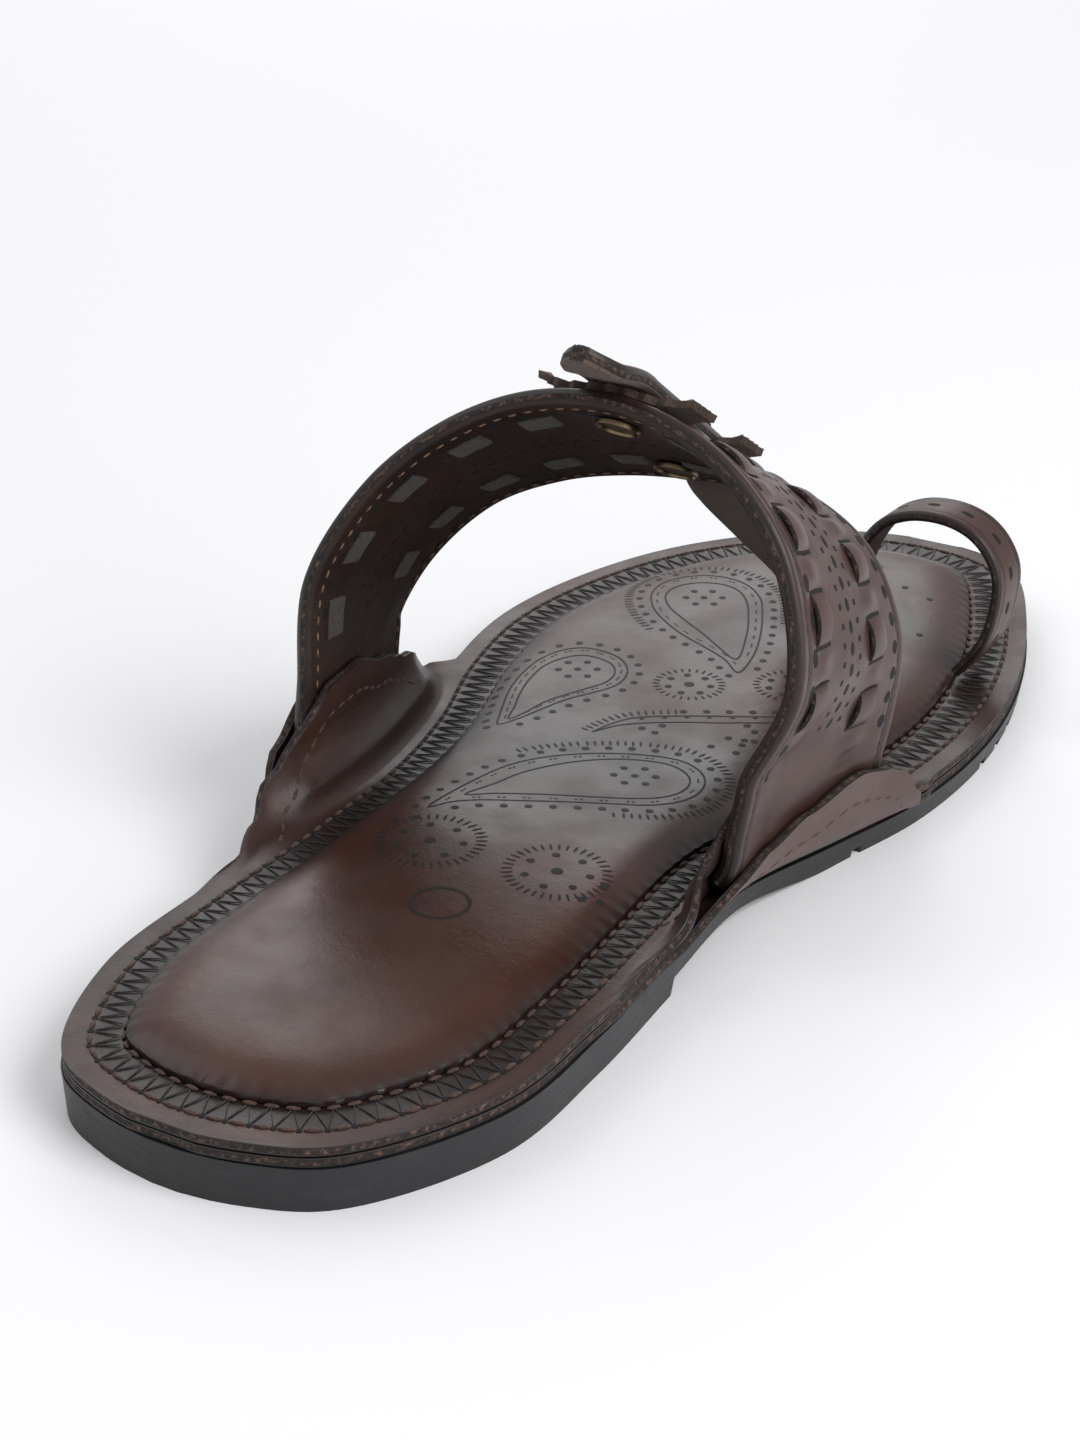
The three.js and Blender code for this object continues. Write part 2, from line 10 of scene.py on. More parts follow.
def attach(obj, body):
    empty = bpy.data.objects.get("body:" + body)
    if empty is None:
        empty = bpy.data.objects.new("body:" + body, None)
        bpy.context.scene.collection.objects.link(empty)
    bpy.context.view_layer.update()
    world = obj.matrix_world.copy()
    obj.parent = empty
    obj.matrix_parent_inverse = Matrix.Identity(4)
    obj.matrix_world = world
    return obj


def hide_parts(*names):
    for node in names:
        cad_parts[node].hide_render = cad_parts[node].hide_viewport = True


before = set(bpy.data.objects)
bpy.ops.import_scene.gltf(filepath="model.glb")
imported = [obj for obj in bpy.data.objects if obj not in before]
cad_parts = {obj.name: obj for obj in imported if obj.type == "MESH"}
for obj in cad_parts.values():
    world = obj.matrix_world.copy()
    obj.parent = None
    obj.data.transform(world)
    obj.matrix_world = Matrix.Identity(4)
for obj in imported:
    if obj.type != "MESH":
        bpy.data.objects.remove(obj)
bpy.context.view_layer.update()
print("frame loaded")

mm = 0.001

# The sole's outline and heights. Widths run from heel to toe: place along, lateral half, medial half.
sole = {
    "length": 287.2,
    "heelTop": 11.8,
    "foreTop": 8.5,
    "slopeStart": -50,
    "slopeLength": 65,
    "spring": 1.4,
    "springStart": 48,
    "toeTip": 10,
    "breast": -53.5,
    "breastReach": 1.2,
    "step": 3,
    "waistEnd": -28,
    "ballStart": 4,
    "draft": 0.7,
    "widths": [
        (-141.3, 14.5, 14.0), (-134.8, 26.6, 26.7), (-109.5, 37.0, 41.2), (-82.0, 37.8, 43.2),
        (-53.5, 37.0, 42.3), (-25.5, 38.6, 41.4), (2.5, 44.7, 47.4), (29.5, 53.0, 54.5),
        (57.5, 56.8, 56.5), (85.5, 52.2, 53.1), (112.0, 40.1, 45.0), (134.5, 18.5, 34.0),
        (141.2, 4.5, 25.0),
    ],
}
gap = 0.3
leather = 1.6


def smooth(t):
    t = np.clip(t, 0, 1)
    return t * t * (3 - 2 * t)


def hump(t, centre, width):
    return np.exp(-(((t - centre) / width) ** 2))


def fromEdge(at, width=1):  # distance from the nearer of two edges
    return np.minimum(at, width - at)


def roundOff(d, radius):  # how far a rounded edge lies below its face, at a distance from the edge
    return np.sqrt(np.clip(radius**2 - np.clip(radius - d, 0, radius) ** 2, 0, None)) - radius


def through(points, closed=False, fine=24):  # smooth path through a few points
    pts = np.array(points, float)
    count = len(pts)
    t = np.linspace(0, 1, fine, endpoint=False)[:, None]
    path = []
    for i in range(count if closed else count - 1):
        p1, p2 = pts[i % count], pts[(i + 1) % count]
        p0 = pts[(i - 1) % count] if closed or i > 0 else 2 * p1 - p2
        p3 = pts[(i + 2) % count] if closed or i + 2 < count else 2 * p2 - p1
        a, b, c = (max(np.linalg.norm(q - p), 1e-6) ** 0.5 for p, q in ((p0, p1), (p1, p2), (p2, p3)))
        leave = ((p1 - p0) / a - (p2 - p0) / (a + b) + (p2 - p1) / b) * b
        reach = ((p2 - p1) / b - (p3 - p1) / (b + c) + (p3 - p2) / c) * b
        path.append(
            (2 * t**3 - 3 * t**2 + 1) * p1 + (t**3 - 2 * t**2 + t) * leave
            + (3 * t**2 - 2 * t**3) * p2 + (t**3 - t**2) * reach
        )
    path.append(pts[:1] if closed else pts[-1:])
    return np.vstack(path)


def lengthsOf(path):
    return np.concatenate([[0], np.cumsum(np.linalg.norm(np.diff(path, axis=0), axis=1))])


def evenly(path, count):
    far = lengthsOf(path)
    at = np.linspace(0, far[-1], count)
    return np.stack([np.interp(at, far, path[:, k]) for k in range(path.shape[1])], axis=1)


def makeOutline():
    half = sole["length"] / 2
    rows = sole["widths"]
    points = [(0, -half)] + [(right, y) for y, _, right in rows] + [(sole["toeTip"], half)]
    points += [(-left, y) for y, left, _ in reversed(rows)]
    return evenly(through(points, closed=True), 721)[:-1]


outline = makeOutline()


def insetOutline(distance):  # distance is a number or one value for each point of the outline
    along = np.roll(outline, -2, axis=0) - np.roll(outline, 2, axis=0)
    inward = np.stack([-along[:, 1], along[:, 0]], axis=1)
    inward /= np.linalg.norm(inward, axis=1)[:, None]
    return outline + inward * np.reshape(distance, (-1, 1))


def halvesOf(ring):  # right and left side of an outline, from heel to toe
    ring = np.roll(ring, -int(ring[:, 1].argmin()), axis=0)
    top = int(ring[:, 1].argmax())
    return ring[: top + 1], np.vstack([ring[top:], ring[:1]])[::-1]


def spanAt(halves, y):
    right, left = halves
    return np.interp(y, left[:, 1], left[:, 0]), np.interp(y, right[:, 1], right[:, 0])


soleHalves = halvesOf(outline)


def toeLift(y):
    far = np.clip((y - sole["springStart"]) / (sole["length"] / 2 - sole["springStart"]), 0, 1)
    return sole["spring"] * far**2


def footbedTop(y):
    heel = 1 - smooth((y - sole["slopeStart"]) / sole["slopeLength"])
    return sole["foreTop"] + (sole["heelTop"] - sole["foreTop"]) * heel + toeLift(y)


def treadHeight(y):
    waist = sole["step"] * (1 - smooth((y - sole["waistEnd"]) / (sole["ballStart"] - sole["waistEnd"])))
    return np.where(y <= sole["breast"], 0, waist + toeLift(y))


def lowerBottom(y):
    return footbedTop(y) - 2 * leather - gap


def alongFoot(halves, t):  # even parts of the length, closer together at heel and toe
    low, high = halves[0][0, 1], halves[0][-1, 1]
    reach = (high - low) / 2 - 0.12
    return (low + high) / 2 - reach * (0.55 * np.cos(np.pi * t) + 0.45 * (1 - 2 * t))


# Wings: place along, how far folded, height of the outer wing, height of the inner wing.
sheets = {
    "edgeInset": 0.4,
    "sweepStart": 2.5,
    "turnOfFullLift": 0.6,
    "seatGap": 0.5,
    "seatMargin": 3.5,
    "seatClose": 14,
    "flatShare": 0.3,
    "medial": {
        "sign": 1, "flare": 6.5, "height": 14, "lean": 0.17, "rear": -36, "front": 8.7,
        "wings": [
            (-90, 0, 0.55, 0.55), (-62, 0.5, 1.2, 1.6), (-44, 1, 3.3, 8), (-34, 1, 6, 14),
            (-25, 1, 10, 18.5), (-14, 1, 13.5, 20.5), (0, 1, 17.5, 19.5), (8, 1, 15.8, 16.5),
            (13, 1, 13.8, 14.2), (19, 0.9, 8, 8.4), (24, 0.5, 2.4, 2.6), (34, 0, 0.55, 0.55),
        ],
    },
    "lateral": {
        "sign": -1, "flare": 10.9, "height": 16, "lean": -0.1, "rear": -40.5, "front": 4.2,
        "wings": [
            (-84, 0, 0.28, 0.28), (-70, 0.5, 0.7, 0.9), (-60, 1, 2.4, 4.2), (-52, 1, 6.8, 10.5),
            (-44, 1, 13.5, 19.5), (-34, 1, 20.5, 25.5), (-24, 1, 22, 26), (-10, 1, 19.5, 22),
            (-2, 1, 16.5, 19.2), (6, 1, 13, 15.2), (14, 1, 8.5, 10.2), (21, 0.7, 3, 3.8), (32, 0, 0.28, 0.28),
        ],
    },
    "outerLifts": (0, 0, 0),
}
strapBody = {"thickness": 3.2, "width": 45, "centre": 104.1, "seatHeights": [3.4, 6.5, 10, 14, 18, 22, 26]}
sheets["innerLifts"] = (
    leather + gap,
    leather + sheets["seatGap"],
    leather + strapBody["thickness"] + 2 * sheets["seatGap"],
)


def wingRow(side, y):
    rows = np.array(side["wings"])
    y = np.clip(y, rows[0, 0], rows[-1, 0])
    at = np.clip(np.searchsorted(rows[:, 0], y, side="right"), 1, len(rows) - 1)
    t = smooth((y - rows[at - 1, 0]) / (rows[at, 0] - rows[at - 1, 0]))
    return [rows[at - 1, k] + (rows[at, k] - rows[at - 1, k]) * t for k in (1, 2, 3)]


def turnTo(side, height):  # how far a sheet has bent where it reaches a height
    ratio = height / side["height"]
    return np.arccos(1 - np.minimum(1, ratio)) + np.maximum(0, ratio - 1)


def sweepPoint(side, y, bent, fold):
    turn = np.minimum(bent, np.pi / 2)
    above = (bent - turn) * side["height"]
    reach = sheets["sweepStart"] + side["flare"]
    left, right = spanAt(soleHalves, y)
    edge = (right if side["sign"] > 0 else -left) - sheets["edgeInset"]
    x = edge - sheets["sweepStart"] + reach * np.sin(turn) + side["lean"] * above * fold
    z = lowerBottom(y) + side["height"] * fold * (1 - np.cos(turn)) + above * fold
    tx = np.where(above > 0, side["lean"], reach * np.cos(turn) + 0.001)
    tz = np.where(above > 0, 1.0, side["height"] * fold * np.sin(turn))
    size = np.hypot(tx, tz)
    return x, z, -tz / size, tx / size, turn


def wingPoint(side, y, bent, lifts, extra=0.0):  # a point on a leather sheet, out along its wing
    y, bent = np.broadcast_arrays(np.asarray(y, float), np.asarray(bent, float))
    fold = wingRow(side, y)[0]
    x, z, inX, inZ, turn = sweepPoint(side, y, bent, fold)
    fromRear = smooth((y - side["rear"] + sheets["seatMargin"] + sheets["seatClose"]) / sheets["seatClose"])
    fromFront = smooth((side["front"] + sheets["seatMargin"] + sheets["seatClose"] - y) / sheets["seatClose"])
    wall = lifts[1] + (lifts[2] - lifts[1]) * fromRear * fromFront
    offset = extra + lifts[0] + (wall - lifts[0]) * smooth(turn / sheets["turnOfFullLift"])
    return np.stack([side["sign"] * (x + inX * offset), y, z + inZ * offset], axis=-1)


def sheetPoint(across, y, inner, extra):
    lifts = sheets["innerLifts"] if inner else sheets["outerLifts"]
    left, right = spanAt(soleHalves, y)
    a = 2 * across - 1
    flat = sheets["flatShare"]
    base = lowerBottom(y) + lifts[0] + extra
    middle = np.stack([(left + right) / 2, y, base], axis=-1)
    out = middle.copy()
    for name in ("medial", "lateral"):
        side = sheets[name]
        here = a * side["sign"] >= 0
        part = np.clip((np.abs(a) - flat) / (1 - flat), 0, 1)
        top = wingRow(side, y)[2 if inner else 1]
        wing = wingPoint(side, y, part * turnTo(side, top), lifts, extra)
        root = wingPoint(side, y, 0.0, lifts, extra)
        t = np.clip(np.abs(a) / flat, 0, 1)[:, None]
        points = np.where(np.abs(a)[:, None] < flat, middle + (root - middle) * t, wing)
        out = np.where(here[:, None], points, out)
    narrow = np.minimum(1, (right - left) / (4 * sheets["sweepStart"]))
    width = right - left - 2 * sheets["edgeInset"] * narrow
    plain = np.stack([(left + right) / 2 + a * width / 2, y, base], axis=-1)
    return np.where((narrow < 1)[:, None], plain, out)


def flatLayer(bm):
    return bm.loops.layers.uv.get("flat") or bm.loops.layers.uv.new("flat")


# Working shapes: a grid bent by a function, closed with a second one under it.
def addSlab(bm, top, bottom, columns, rows, paint=None, shift=0):
    flat = flatLayer(bm)
    layers = {n: bm.verts.layers.float.get(n) or bm.verts.layers.float.new(n) for n in (paint or {})}
    old = set(bm.edges)
    where, onTop = {}, {}
    for place, upper in ((top, True), (bottom, False)):
        made = bmesh.ops.create_grid(bm, x_segments=columns, y_segments=rows, size=0.5)["verts"]
        grid = np.array([v.co[:2] for v in made]) + 0.5
        points = place(grid[:, 0], grid[:, 1])
        for name, rule in (paint or {}).items():
            for v, value in zip(made, rule(grid[:, 0], grid[:, 1], points)):
                v[layers[name]] = float(value)
        for v, at, spot in zip(made, points * mm, grid):
            v.co = at
            where[v] = spot
            onTop[v] = upper
        faces = list({f for v in made for f in v.link_faces})
        for f in faces:
            f.material_index = shift if upper else shift + 1
            for loop in f.loops:
                loop[flat].uv = where[loop.vert]
        if not upper:
            bmesh.ops.reverse_faces(bm, faces=faces)
    rim = [e for e in bm.edges if e.is_boundary and e not in old]
    for f in bmesh.ops.bridge_loops(bm, edges=rim)["faces"]:
        f.material_index = shift + 2
        for loop in f.loops:
            loop[flat].uv = (sum(where[loop.vert]), 1.0 if onTop[loop.vert] else 0.0)


def addObject(name, data):
    made = bpy.data.objects.new(name, data)
    bpy.context.collection.objects.link(made)
    return made


def addMesh(name, bm):
    mesh = bpy.data.meshes.new(name)
    bm.to_mesh(mesh)
    bm.free()
    return addObject(name, mesh)


def finishPiece(name, bm, finishes, replaces=(), shade=40, outward=True):
    if outward:
        bmesh.ops.recalc_face_normals(bm, faces=bm.faces)
    piece = addMesh(name, bm)
    for finish in finishes:
        piece.data.materials.append(finish)
    for polygon in piece.data.polygons:
        polygon.use_smooth = True
    if shade:
        piece.data.set_sharp_from_angle(angle=math.radians(shade))
    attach(piece, "root")
    if replaces:
        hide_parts(*replaces)
    return piece


def roundEdges(piece, width, segments=2, angle=50):
    bevel = piece.modifiers.new("round", "BEVEL")
    bevel.width = width * mm
    bevel.segments = segments
    bevel.limit_method = "ANGLE"
    bevel.angle_limit = math.radians(angle)
    bevel.harden_normals = False


def applyModifiers(piece):
    bpy.context.view_layer.update()
    made = bpy.data.meshes.new_from_object(piece.evaluated_get(bpy.context.evaluated_depsgraph_get()))
    piece.modifiers.clear()
    piece.data = made


# Finishes
class Value:  # a shader value that can be written in sums
    def __init__(self, finish, socket):
        self.finish = finish
        self.socket = socket

    def join(self, operation, a, b):
        return self.finish.node("ShaderNodeMath", {"operation": operation}, {0: a, 1: b})

    def __add__(self, other):
        return self.join("ADD", self, other)

    def __sub__(self, other):
        return self.join("SUBTRACT", self, other)

    def __rsub__(self, other):
        return self.join("SUBTRACT", other, self)

    def __mul__(self, other):
        return self.join("MULTIPLY", self, other)

    __radd__ = __add__
    __rmul__ = __mul__


class Finish:  # one material and the nodes behind it
    def __init__(self, name, roughness, metallic=0.0, coat=0.0, specular=0.5, sheen=0.0):
        self.material = bpy.data.materials.new(name)
        self.material.use_nodes = True
        self.tree = self.material.node_tree
        self.shader = self.tree.nodes["Principled BSDF"]
        self.shader.inputs["Roughness"].default_value = roughness
        self.shader.inputs["Metallic"].default_value = metallic
        self.shader.inputs["Coat Weight"].default_value = coat
        self.shader.inputs["Coat Roughness"].default_value = 0.25
        self.shader.inputs["Specular IOR Level"].default_value = specular
        self.shader.inputs["Sheen Weight"].default_value = sheen
        self.shader.inputs["Sheen Roughness"].default_value = 0.5

    def node(self, kind, settings=None, inputs=None, out=0):
        made = self.tree.nodes.new(kind)
        for key, value in (settings or {}).items():
            if key == "stops":
                ramp = made.color_ramp
                while len(ramp.elements) < len(value):
                    ramp.elements.new(0.5)
                for element, (at, colour) in zip(ramp.elements, value):
                    element.position = at
                    element.color = (*colour, 1)
            else:
                setattr(made, key, value)
        for key, value in (inputs or {}).items():
            self.feed(made.inputs[key], value)
        return Value(self, made.outputs[out])

    def feed(self, socket, value):
        if isinstance(value, Value):
            self.tree.links.new(value.socket, socket)
        elif isinstance(value, tuple) and len(value) == 3 and socket.type == "RGBA":
            socket.default_value = (*value, 1)
        else:
            socket.default_value = value

    def place(self):
        return self.node("ShaderNodeTexCoord", out=3)

    def uv(self, axis):
        spot = self.node("ShaderNodeUVMap", {"uv_map": "flat"})
        return self.node("ShaderNodeSeparateXYZ", inputs={0: spot}, out=axis)

    def attribute(self, name):
        return self.node("ShaderNodeAttribute", {"attribute_name": name}, out=2)

    def noise(self, scale, detail=3, rough=0.5, stretch=None):
        spot = self.place()
        if stretch:
            spot = self.node("ShaderNodeMapping", inputs={0: spot, 3: stretch})
        inputs = {"Vector": spot, "Scale": scale, "Detail": detail, "Roughness": rough}
        return self.node("ShaderNodeTexNoise", inputs=inputs)

    def cells(self, scale):
        return self.node("ShaderNodeTexVoronoi", inputs={"Vector": self.place(), "Scale": scale})

    def range(self, value, low, high, toLow=0.0, toHigh=1.0):
        names = {"Value": value, 1: low, 2: high, 3: toLow, 4: toHigh}
        return self.node("ShaderNodeMapRange", {"interpolation_type": "SMOOTHSTEP"}, names)

    def blend(self, factor, a, b):
        return self.node("ShaderNodeMix", {"data_type": "RGBA"}, {0: factor, 6: a, 7: b}, out=2)

    def bump(self, height, distance):
        inputs = {"Height": height, "Distance": distance * mm, "Strength": 1.0}
        return self.node("ShaderNodeBump", inputs=inputs)

    def set(self, **inputs):
        for key, value in inputs.items():
            self.feed(self.shader.inputs[key.replace("_", " ")], value)
        return self.material


def tone(red, green, blue):  # a colour as seen on screen, 0 to 255
    parts = [c / 255 for c in (red, green, blue)]
    return tuple(((c + 0.055) / 1.055) ** 2.4 if c > 0.04 else c / 12.92 for c in parts)


hides = {
    "deep": tone(30, 21, 19),
    "brown": tone(56, 39, 35),
    "warm": tone(78, 44, 32),
    "worn": tone(112, 84, 72),
    "suede": tone(108, 86, 66),
    "fuzz": tone(34, 26, 23),
}


def leatherFinish(
    name, base, warm, roughness=0.42, coat=0.12, grain=1.0, warmAttribute=None, darkAttribute=None
):
    f = Finish(name, roughness, coat=coat, specular=0.4)
    cloud = f.range(f.noise(26, 4, 0.6), 0.35, 0.7)
    colour = f.blend(cloud * 0.55, base, warm)
    if warmAttribute:
        colour = f.blend(f.attribute(warmAttribute), colour, warm)
    if darkAttribute:
        colour = f.blend(f.attribute(darkAttribute), colour, hides["deep"])
    pull = f.range(f.noise(95, 5, 0.65, (1, 0.35, 1)), 0.3, 0.75)
    colour = f.blend(pull * 0.35, colour, hides["deep"])
    pores = f.cells(1500) * 0.5 + f.noise(2600, 3, 0.6) * 0.7
    crease = f.noise(330, 4, 0.6)
    height = pores * 0.4 + crease * 1.1
    gloss = f.range(f.noise(60, 4, 0.6), 0.3, 0.75, roughness - 0.07, roughness + 0.12)
    return f.set(Base_Color=colour, Roughness=gloss, Normal=f.bump(height, 0.09 * grain))


def cutEdgeFinish(name):  # layered, raw leather edge: coated lips with a fuzzy core
    f = Finish(name, 0.7)
    depth = f.uv(1)
    fleck = f.range(f.noise(900, 4, 0.7), 0.45, 0.72)
    core = f.blend(fleck, hides["fuzz"], hides["worn"])
    lip = f.range(depth, 0.74, 0.86) + f.range(depth, 0.24, 0.12)
    colour = f.blend(lip, core, tone(24, 19, 19))
    rough = f.range(lip, 0, 1, 0.85, 0.38)
    fuzz = f.noise(1500, 4, 0.7) * (1 - lip)
    return f.set(Base_Color=colour, Roughness=rough, Normal=f.bump(fuzz, 0.5))


def liningFinish(name):
    f = Finish(name, 0.55, specular=0.4)
    colour = f.blend(f.range(f.noise(40, 5, 0.65), 0.35, 0.75), tone(30, 20, 17), tone(54, 37, 29))
    scratch = f.range(f.noise(240, 6, 0.75, (1, 0.2, 1)), 0.62, 0.75)
    colour = f.blend(scratch * 0.5, colour, tone(120, 92, 70))
    return f.set(Base_Color=colour, Normal=f.bump(f.noise(800, 4, 0.6), 0.12))


def suedeFinish(name, colour=hides["suede"]):
    f = Finish(name, 0.9, sheen=0.2)
    grain = f.range(f.noise(1300, 5, 0.75), 0.3, 0.7)
    shade = f.blend(grain, tuple(c * 0.45 for c in colour), colour)
    return f.set(Base_Color=shade, Normal=f.bump(grain, 0.25))


def rubberFinish(name):
    f = Finish(name, 0.5, specular=0.45)
    dust = f.range(f.noise(70, 5, 0.7, (1, 1, 4)), 0.5, 0.8)
    colour = f.blend(dust * 0.5, tone(30, 29, 32), tone(58, 55, 56))
    scuff = f.noise(160, 6, 0.7, (1, 1, 5))
    rough = f.range(dust, 0, 1, 0.42, 0.68)
    height = scuff + f.noise(1100, 3, 0.6) * 0.25
    return f.set(Base_Color=colour, Roughness=rough, Normal=f.bump(height, 0.35))


def threadFinish(name, light, dark):
    f = Finish(name, 0.75, sheen=0.15)
    twist = f.noise(1800, 3, 0.6)
    return f.set(Base_Color=f.blend(f.range(twist, 0.3, 0.7), dark, light), Normal=f.bump(twist, 0.2))


def plainFinish(name, colour, roughness, metallic=0.0):
    f = Finish(name, roughness, metallic)
    cloud = f.range(f.noise(300, 4, 0.6), 0.3, 0.7)
    return f.set(Base_Color=f.blend(cloud, colour, tuple(c * 0.7 for c in colour)))


coverLeather = leatherFinish("cover leather", hides["brown"], hides["warm"], 0.4, darkAttribute="band")
padLeather = leatherFinish(
    "pad leather", tone(56, 37, 32), tone(70, 34, 21), 0.35, 0.2, 0.8, "glow", "shade"
)
strapLeather = leatherFinish("strap leather", tone(68, 46, 40), tone(82, 46, 32), darkAttribute="shade")
lowerLeather = leatherFinish("wing leather", tone(86, 68, 62), tone(88, 63, 54), 0.45)
cutEdge = cutEdgeFinish("cut edge")
lining = liningFinish("lining")
suede = suedeFinish("suede")
pinkedSuede = suedeFinish("pinked suede", tone(86, 64, 50))
thongBack = suedeFinish("thong back", tone(54, 39, 28))
rubber = rubberFinish("rubber")
brownThread = threadFinish("brown thread", tone(88, 59, 46), tone(40, 26, 21))
blackThread = threadFinish("black thread", tone(56, 48, 47), tone(28, 24, 24))
tanThread = threadFinish("tan thread", tone(150, 112, 84), tone(92, 62, 46))
# Holes, slits and needle pricks are not cut through: flat dark discs paint the shade inside them.
holeShade = plainFinish("painted hole shade", tone(14, 10, 10), 0.8)
stampDark = plainFinish("stamped leather", tone(20, 14, 14), 0.6)
agedBrass = plainFinish("aged brass", tone(124, 108, 84), 0.34, 1.0)
print("finishes made")


def nearRim(ring):
    tree = kdtree.KDTree(len(ring))
    for i, (x, y) in enumerate(ring):
        tree.insert((x, y, 0), i)
    tree.balance()
    far = lengthsOf(np.vstack([ring, ring[:1]]))

    def distance(x, y):
        found = [tree.find((a, b, 0)) for a, b in zip(np.ravel(x), np.ravel(y))]
        return np.array([d for _, _, d in found]), np.array([far[i] for _, i, _ in found])

    return distance


# Outsole
grooves = {
    "depth": 1.5, "width": 2.6, "pitch": 9, "heel": 9, "forefoot": 14, "first": 10, "open": 50, "margin": 3,
}


def makeOutsole():
    def stations(t):  # the rows beside the heel's front edge move onto it
        y = alongFoot(soleHalves, t)
        ahead = y - sole["breast"]
        near = np.abs(ahead) < sole["breastReach"]
        return np.where(near, sole["breast"] + np.where(ahead < 0, 0, 0.1), y)

    def face(height, draft):
        def place(across, t):
            y = stations(t)
            left, right = spanAt(soleHalves, y)
            inset = np.minimum(draft, (right - left) / 8)
            x = left + inset + (right - left - 2 * inset) * across
            return np.stack([x, y, height(y)], axis=1)
        return place

    bm = bmesh.new()
    addSlab(bm, face(lambda y: lowerBottom(y) - gap, 0), face(treadHeight, sole["draft"]), 16, 170)
    piece = finishPiece("sole_rubber", bm, [rubber] * 3, ["outsole"])
    half = sole["length"] / 2
    heel = np.linspace(-half + grooves["pitch"], sole["breast"] - grooves["pitch"], grooves["heel"])
    fore = np.linspace(grooves["first"], half - grooves["pitch"], grooves["forefoot"])
    cuts = bmesh.new()
    for y in (*heel, *fore):
        left, right = spanAt(soleHalves, y)
        beyond = grooves["margin"] if y == grooves["first"] or y > grooves["open"] else -grooves["margin"]
        size = Matrix.Diagonal(
            ((right - left + 2 * beyond) * mm, grooves["width"] * mm, 2 * grooves["depth"] * mm, 1)
        )
        spot = Matrix.Translation(Vector(((left + right) / 2, y, float(treadHeight(y)))) * mm)
        bmesh.ops.create_cube(cuts, size=1, matrix=spot @ size)
    cutter = addMesh("grooves", cuts)
    cut = piece.modifiers.new("grooves", "BOOLEAN")
    cut.object = cutter
    cut.solver = "EXACT"
    applyModifiers(piece)
    bpy.data.objects.remove(cutter)
    roundEdges(piece, 0.35, 1)


makeOutsole()
print("outsole made")

# Leather sheets
rimDistance = nearRim(outline)
band = {  # the dark strip under the zigzag threads, and the dark rim
    "outer": 4.7, "soft": 0.5, "inner": 11.1, "fade": 1.5, "strength": 0.9,
    "rim": 2.2, "rimStrength": 0.45, "wingStrength": 0.6, "wallStart": 9, "reach": 30,
}
wrinkles = {  # strength, waves per mm, slant, place along, reach
    "height": 0.35, "waves": [(1, 0.55, 5, 12, 14), (0.7, 0.4, -4, -66, 12)],
}


def bandMask(across, t, points):
    d, _ = rimDistance(points[:, 0], points[:, 1])
    inside = (points[:, 2] < lowerBottom(points[:, 1]) + band["wallStart"]) & (d < band["reach"])
    mask = smooth((d - band["outer"]) / band["soft"]) * (1 - smooth((d - band["inner"]) / band["fade"]))
    rim = band["rimStrength"] * (1 - smooth(d / band["rim"]))
    return np.where(inside, np.maximum(mask * band["strength"], rim), rim * band["wingStrength"])


def makeSheet(name, inner, finishes, node, columns, rows):
    inset = halvesOf(insetOutline(sheets["edgeInset"]))

    def face(extra):
        def place(across, t):
            y = alongFoot(inset, t)
            points = sheetPoint(across, y, inner, extra)
            if inner:
                d = np.abs(2 * across - 1)
                share = smooth((d - 0.45) / 0.4) * (1 - smooth((d - 0.9) / 0.1))
                for strength, rate, slant, middle, reach in wrinkles["waves"]:
                    fold = strength * np.sin(y * rate + slant * d) * hump(y, middle, reach)
                    points[:, 2] += wrinkles["height"] * share * fold
            return points
        return place

    bm = bmesh.new()
    addSlab(bm, face(leather), face(0), columns, rows, {"band": bandMask} if inner else None)
    roundEdges(finishPiece(name, bm, finishes, [node], 50), 0.4)


makeSheet(
    "footbed_leather", True, [coverLeather, lining, cutEdge], "footbed_cover", 72, 190
)
makeSheet(
    "wing_leather", False, [lining, lowerLeather, cutEdge], "lower_leather", 64, 170
)
print("leather sheets made")

# Padded insole
pad = {
    "inset": 10.7, "foreInset": 13, "edge": 0.9, "crown": 3.1, "shoulder": 5,
    "pinch": 3.7, "pinchDepth": 0.3, "pinchReach": 1.3, "columns": 104, "rows": 330,
    "glow": 0.6, "glowPlace": 6.5, "glowReach": 4.5, "heelGlow": 0.45, "heelEnd": -95, "heelFade": 60,
    "shadeReach": 1.7,
}
padInset = pad["inset"] + (pad["foreInset"] - pad["inset"]) * smooth((outline[:, 1] + 40) / 80)
padRing = insetOutline(padInset)
padHalves = halvesOf(padRing)
padDistance = nearRim(evenly(np.vstack([padRing, padRing[:1]]), 1401)[:-1])


def pinchWave(far):  # 1 where a stitch pulls the pad's edge down, 0 between two of them
    return 0.5 + 0.5 * np.cos(2 * np.pi * far / pad["pinch"])


def padTop(x, y):
    d, far = padDistance(x, y)
    base = footbedTop(y) + gap + pad["edge"] + pad["crown"] * (1 - np.exp(-d / pad["shoulder"]))
    return base - pad["pinchDepth"] * np.exp(-d / pad["pinchReach"]) * pinchWave(far)


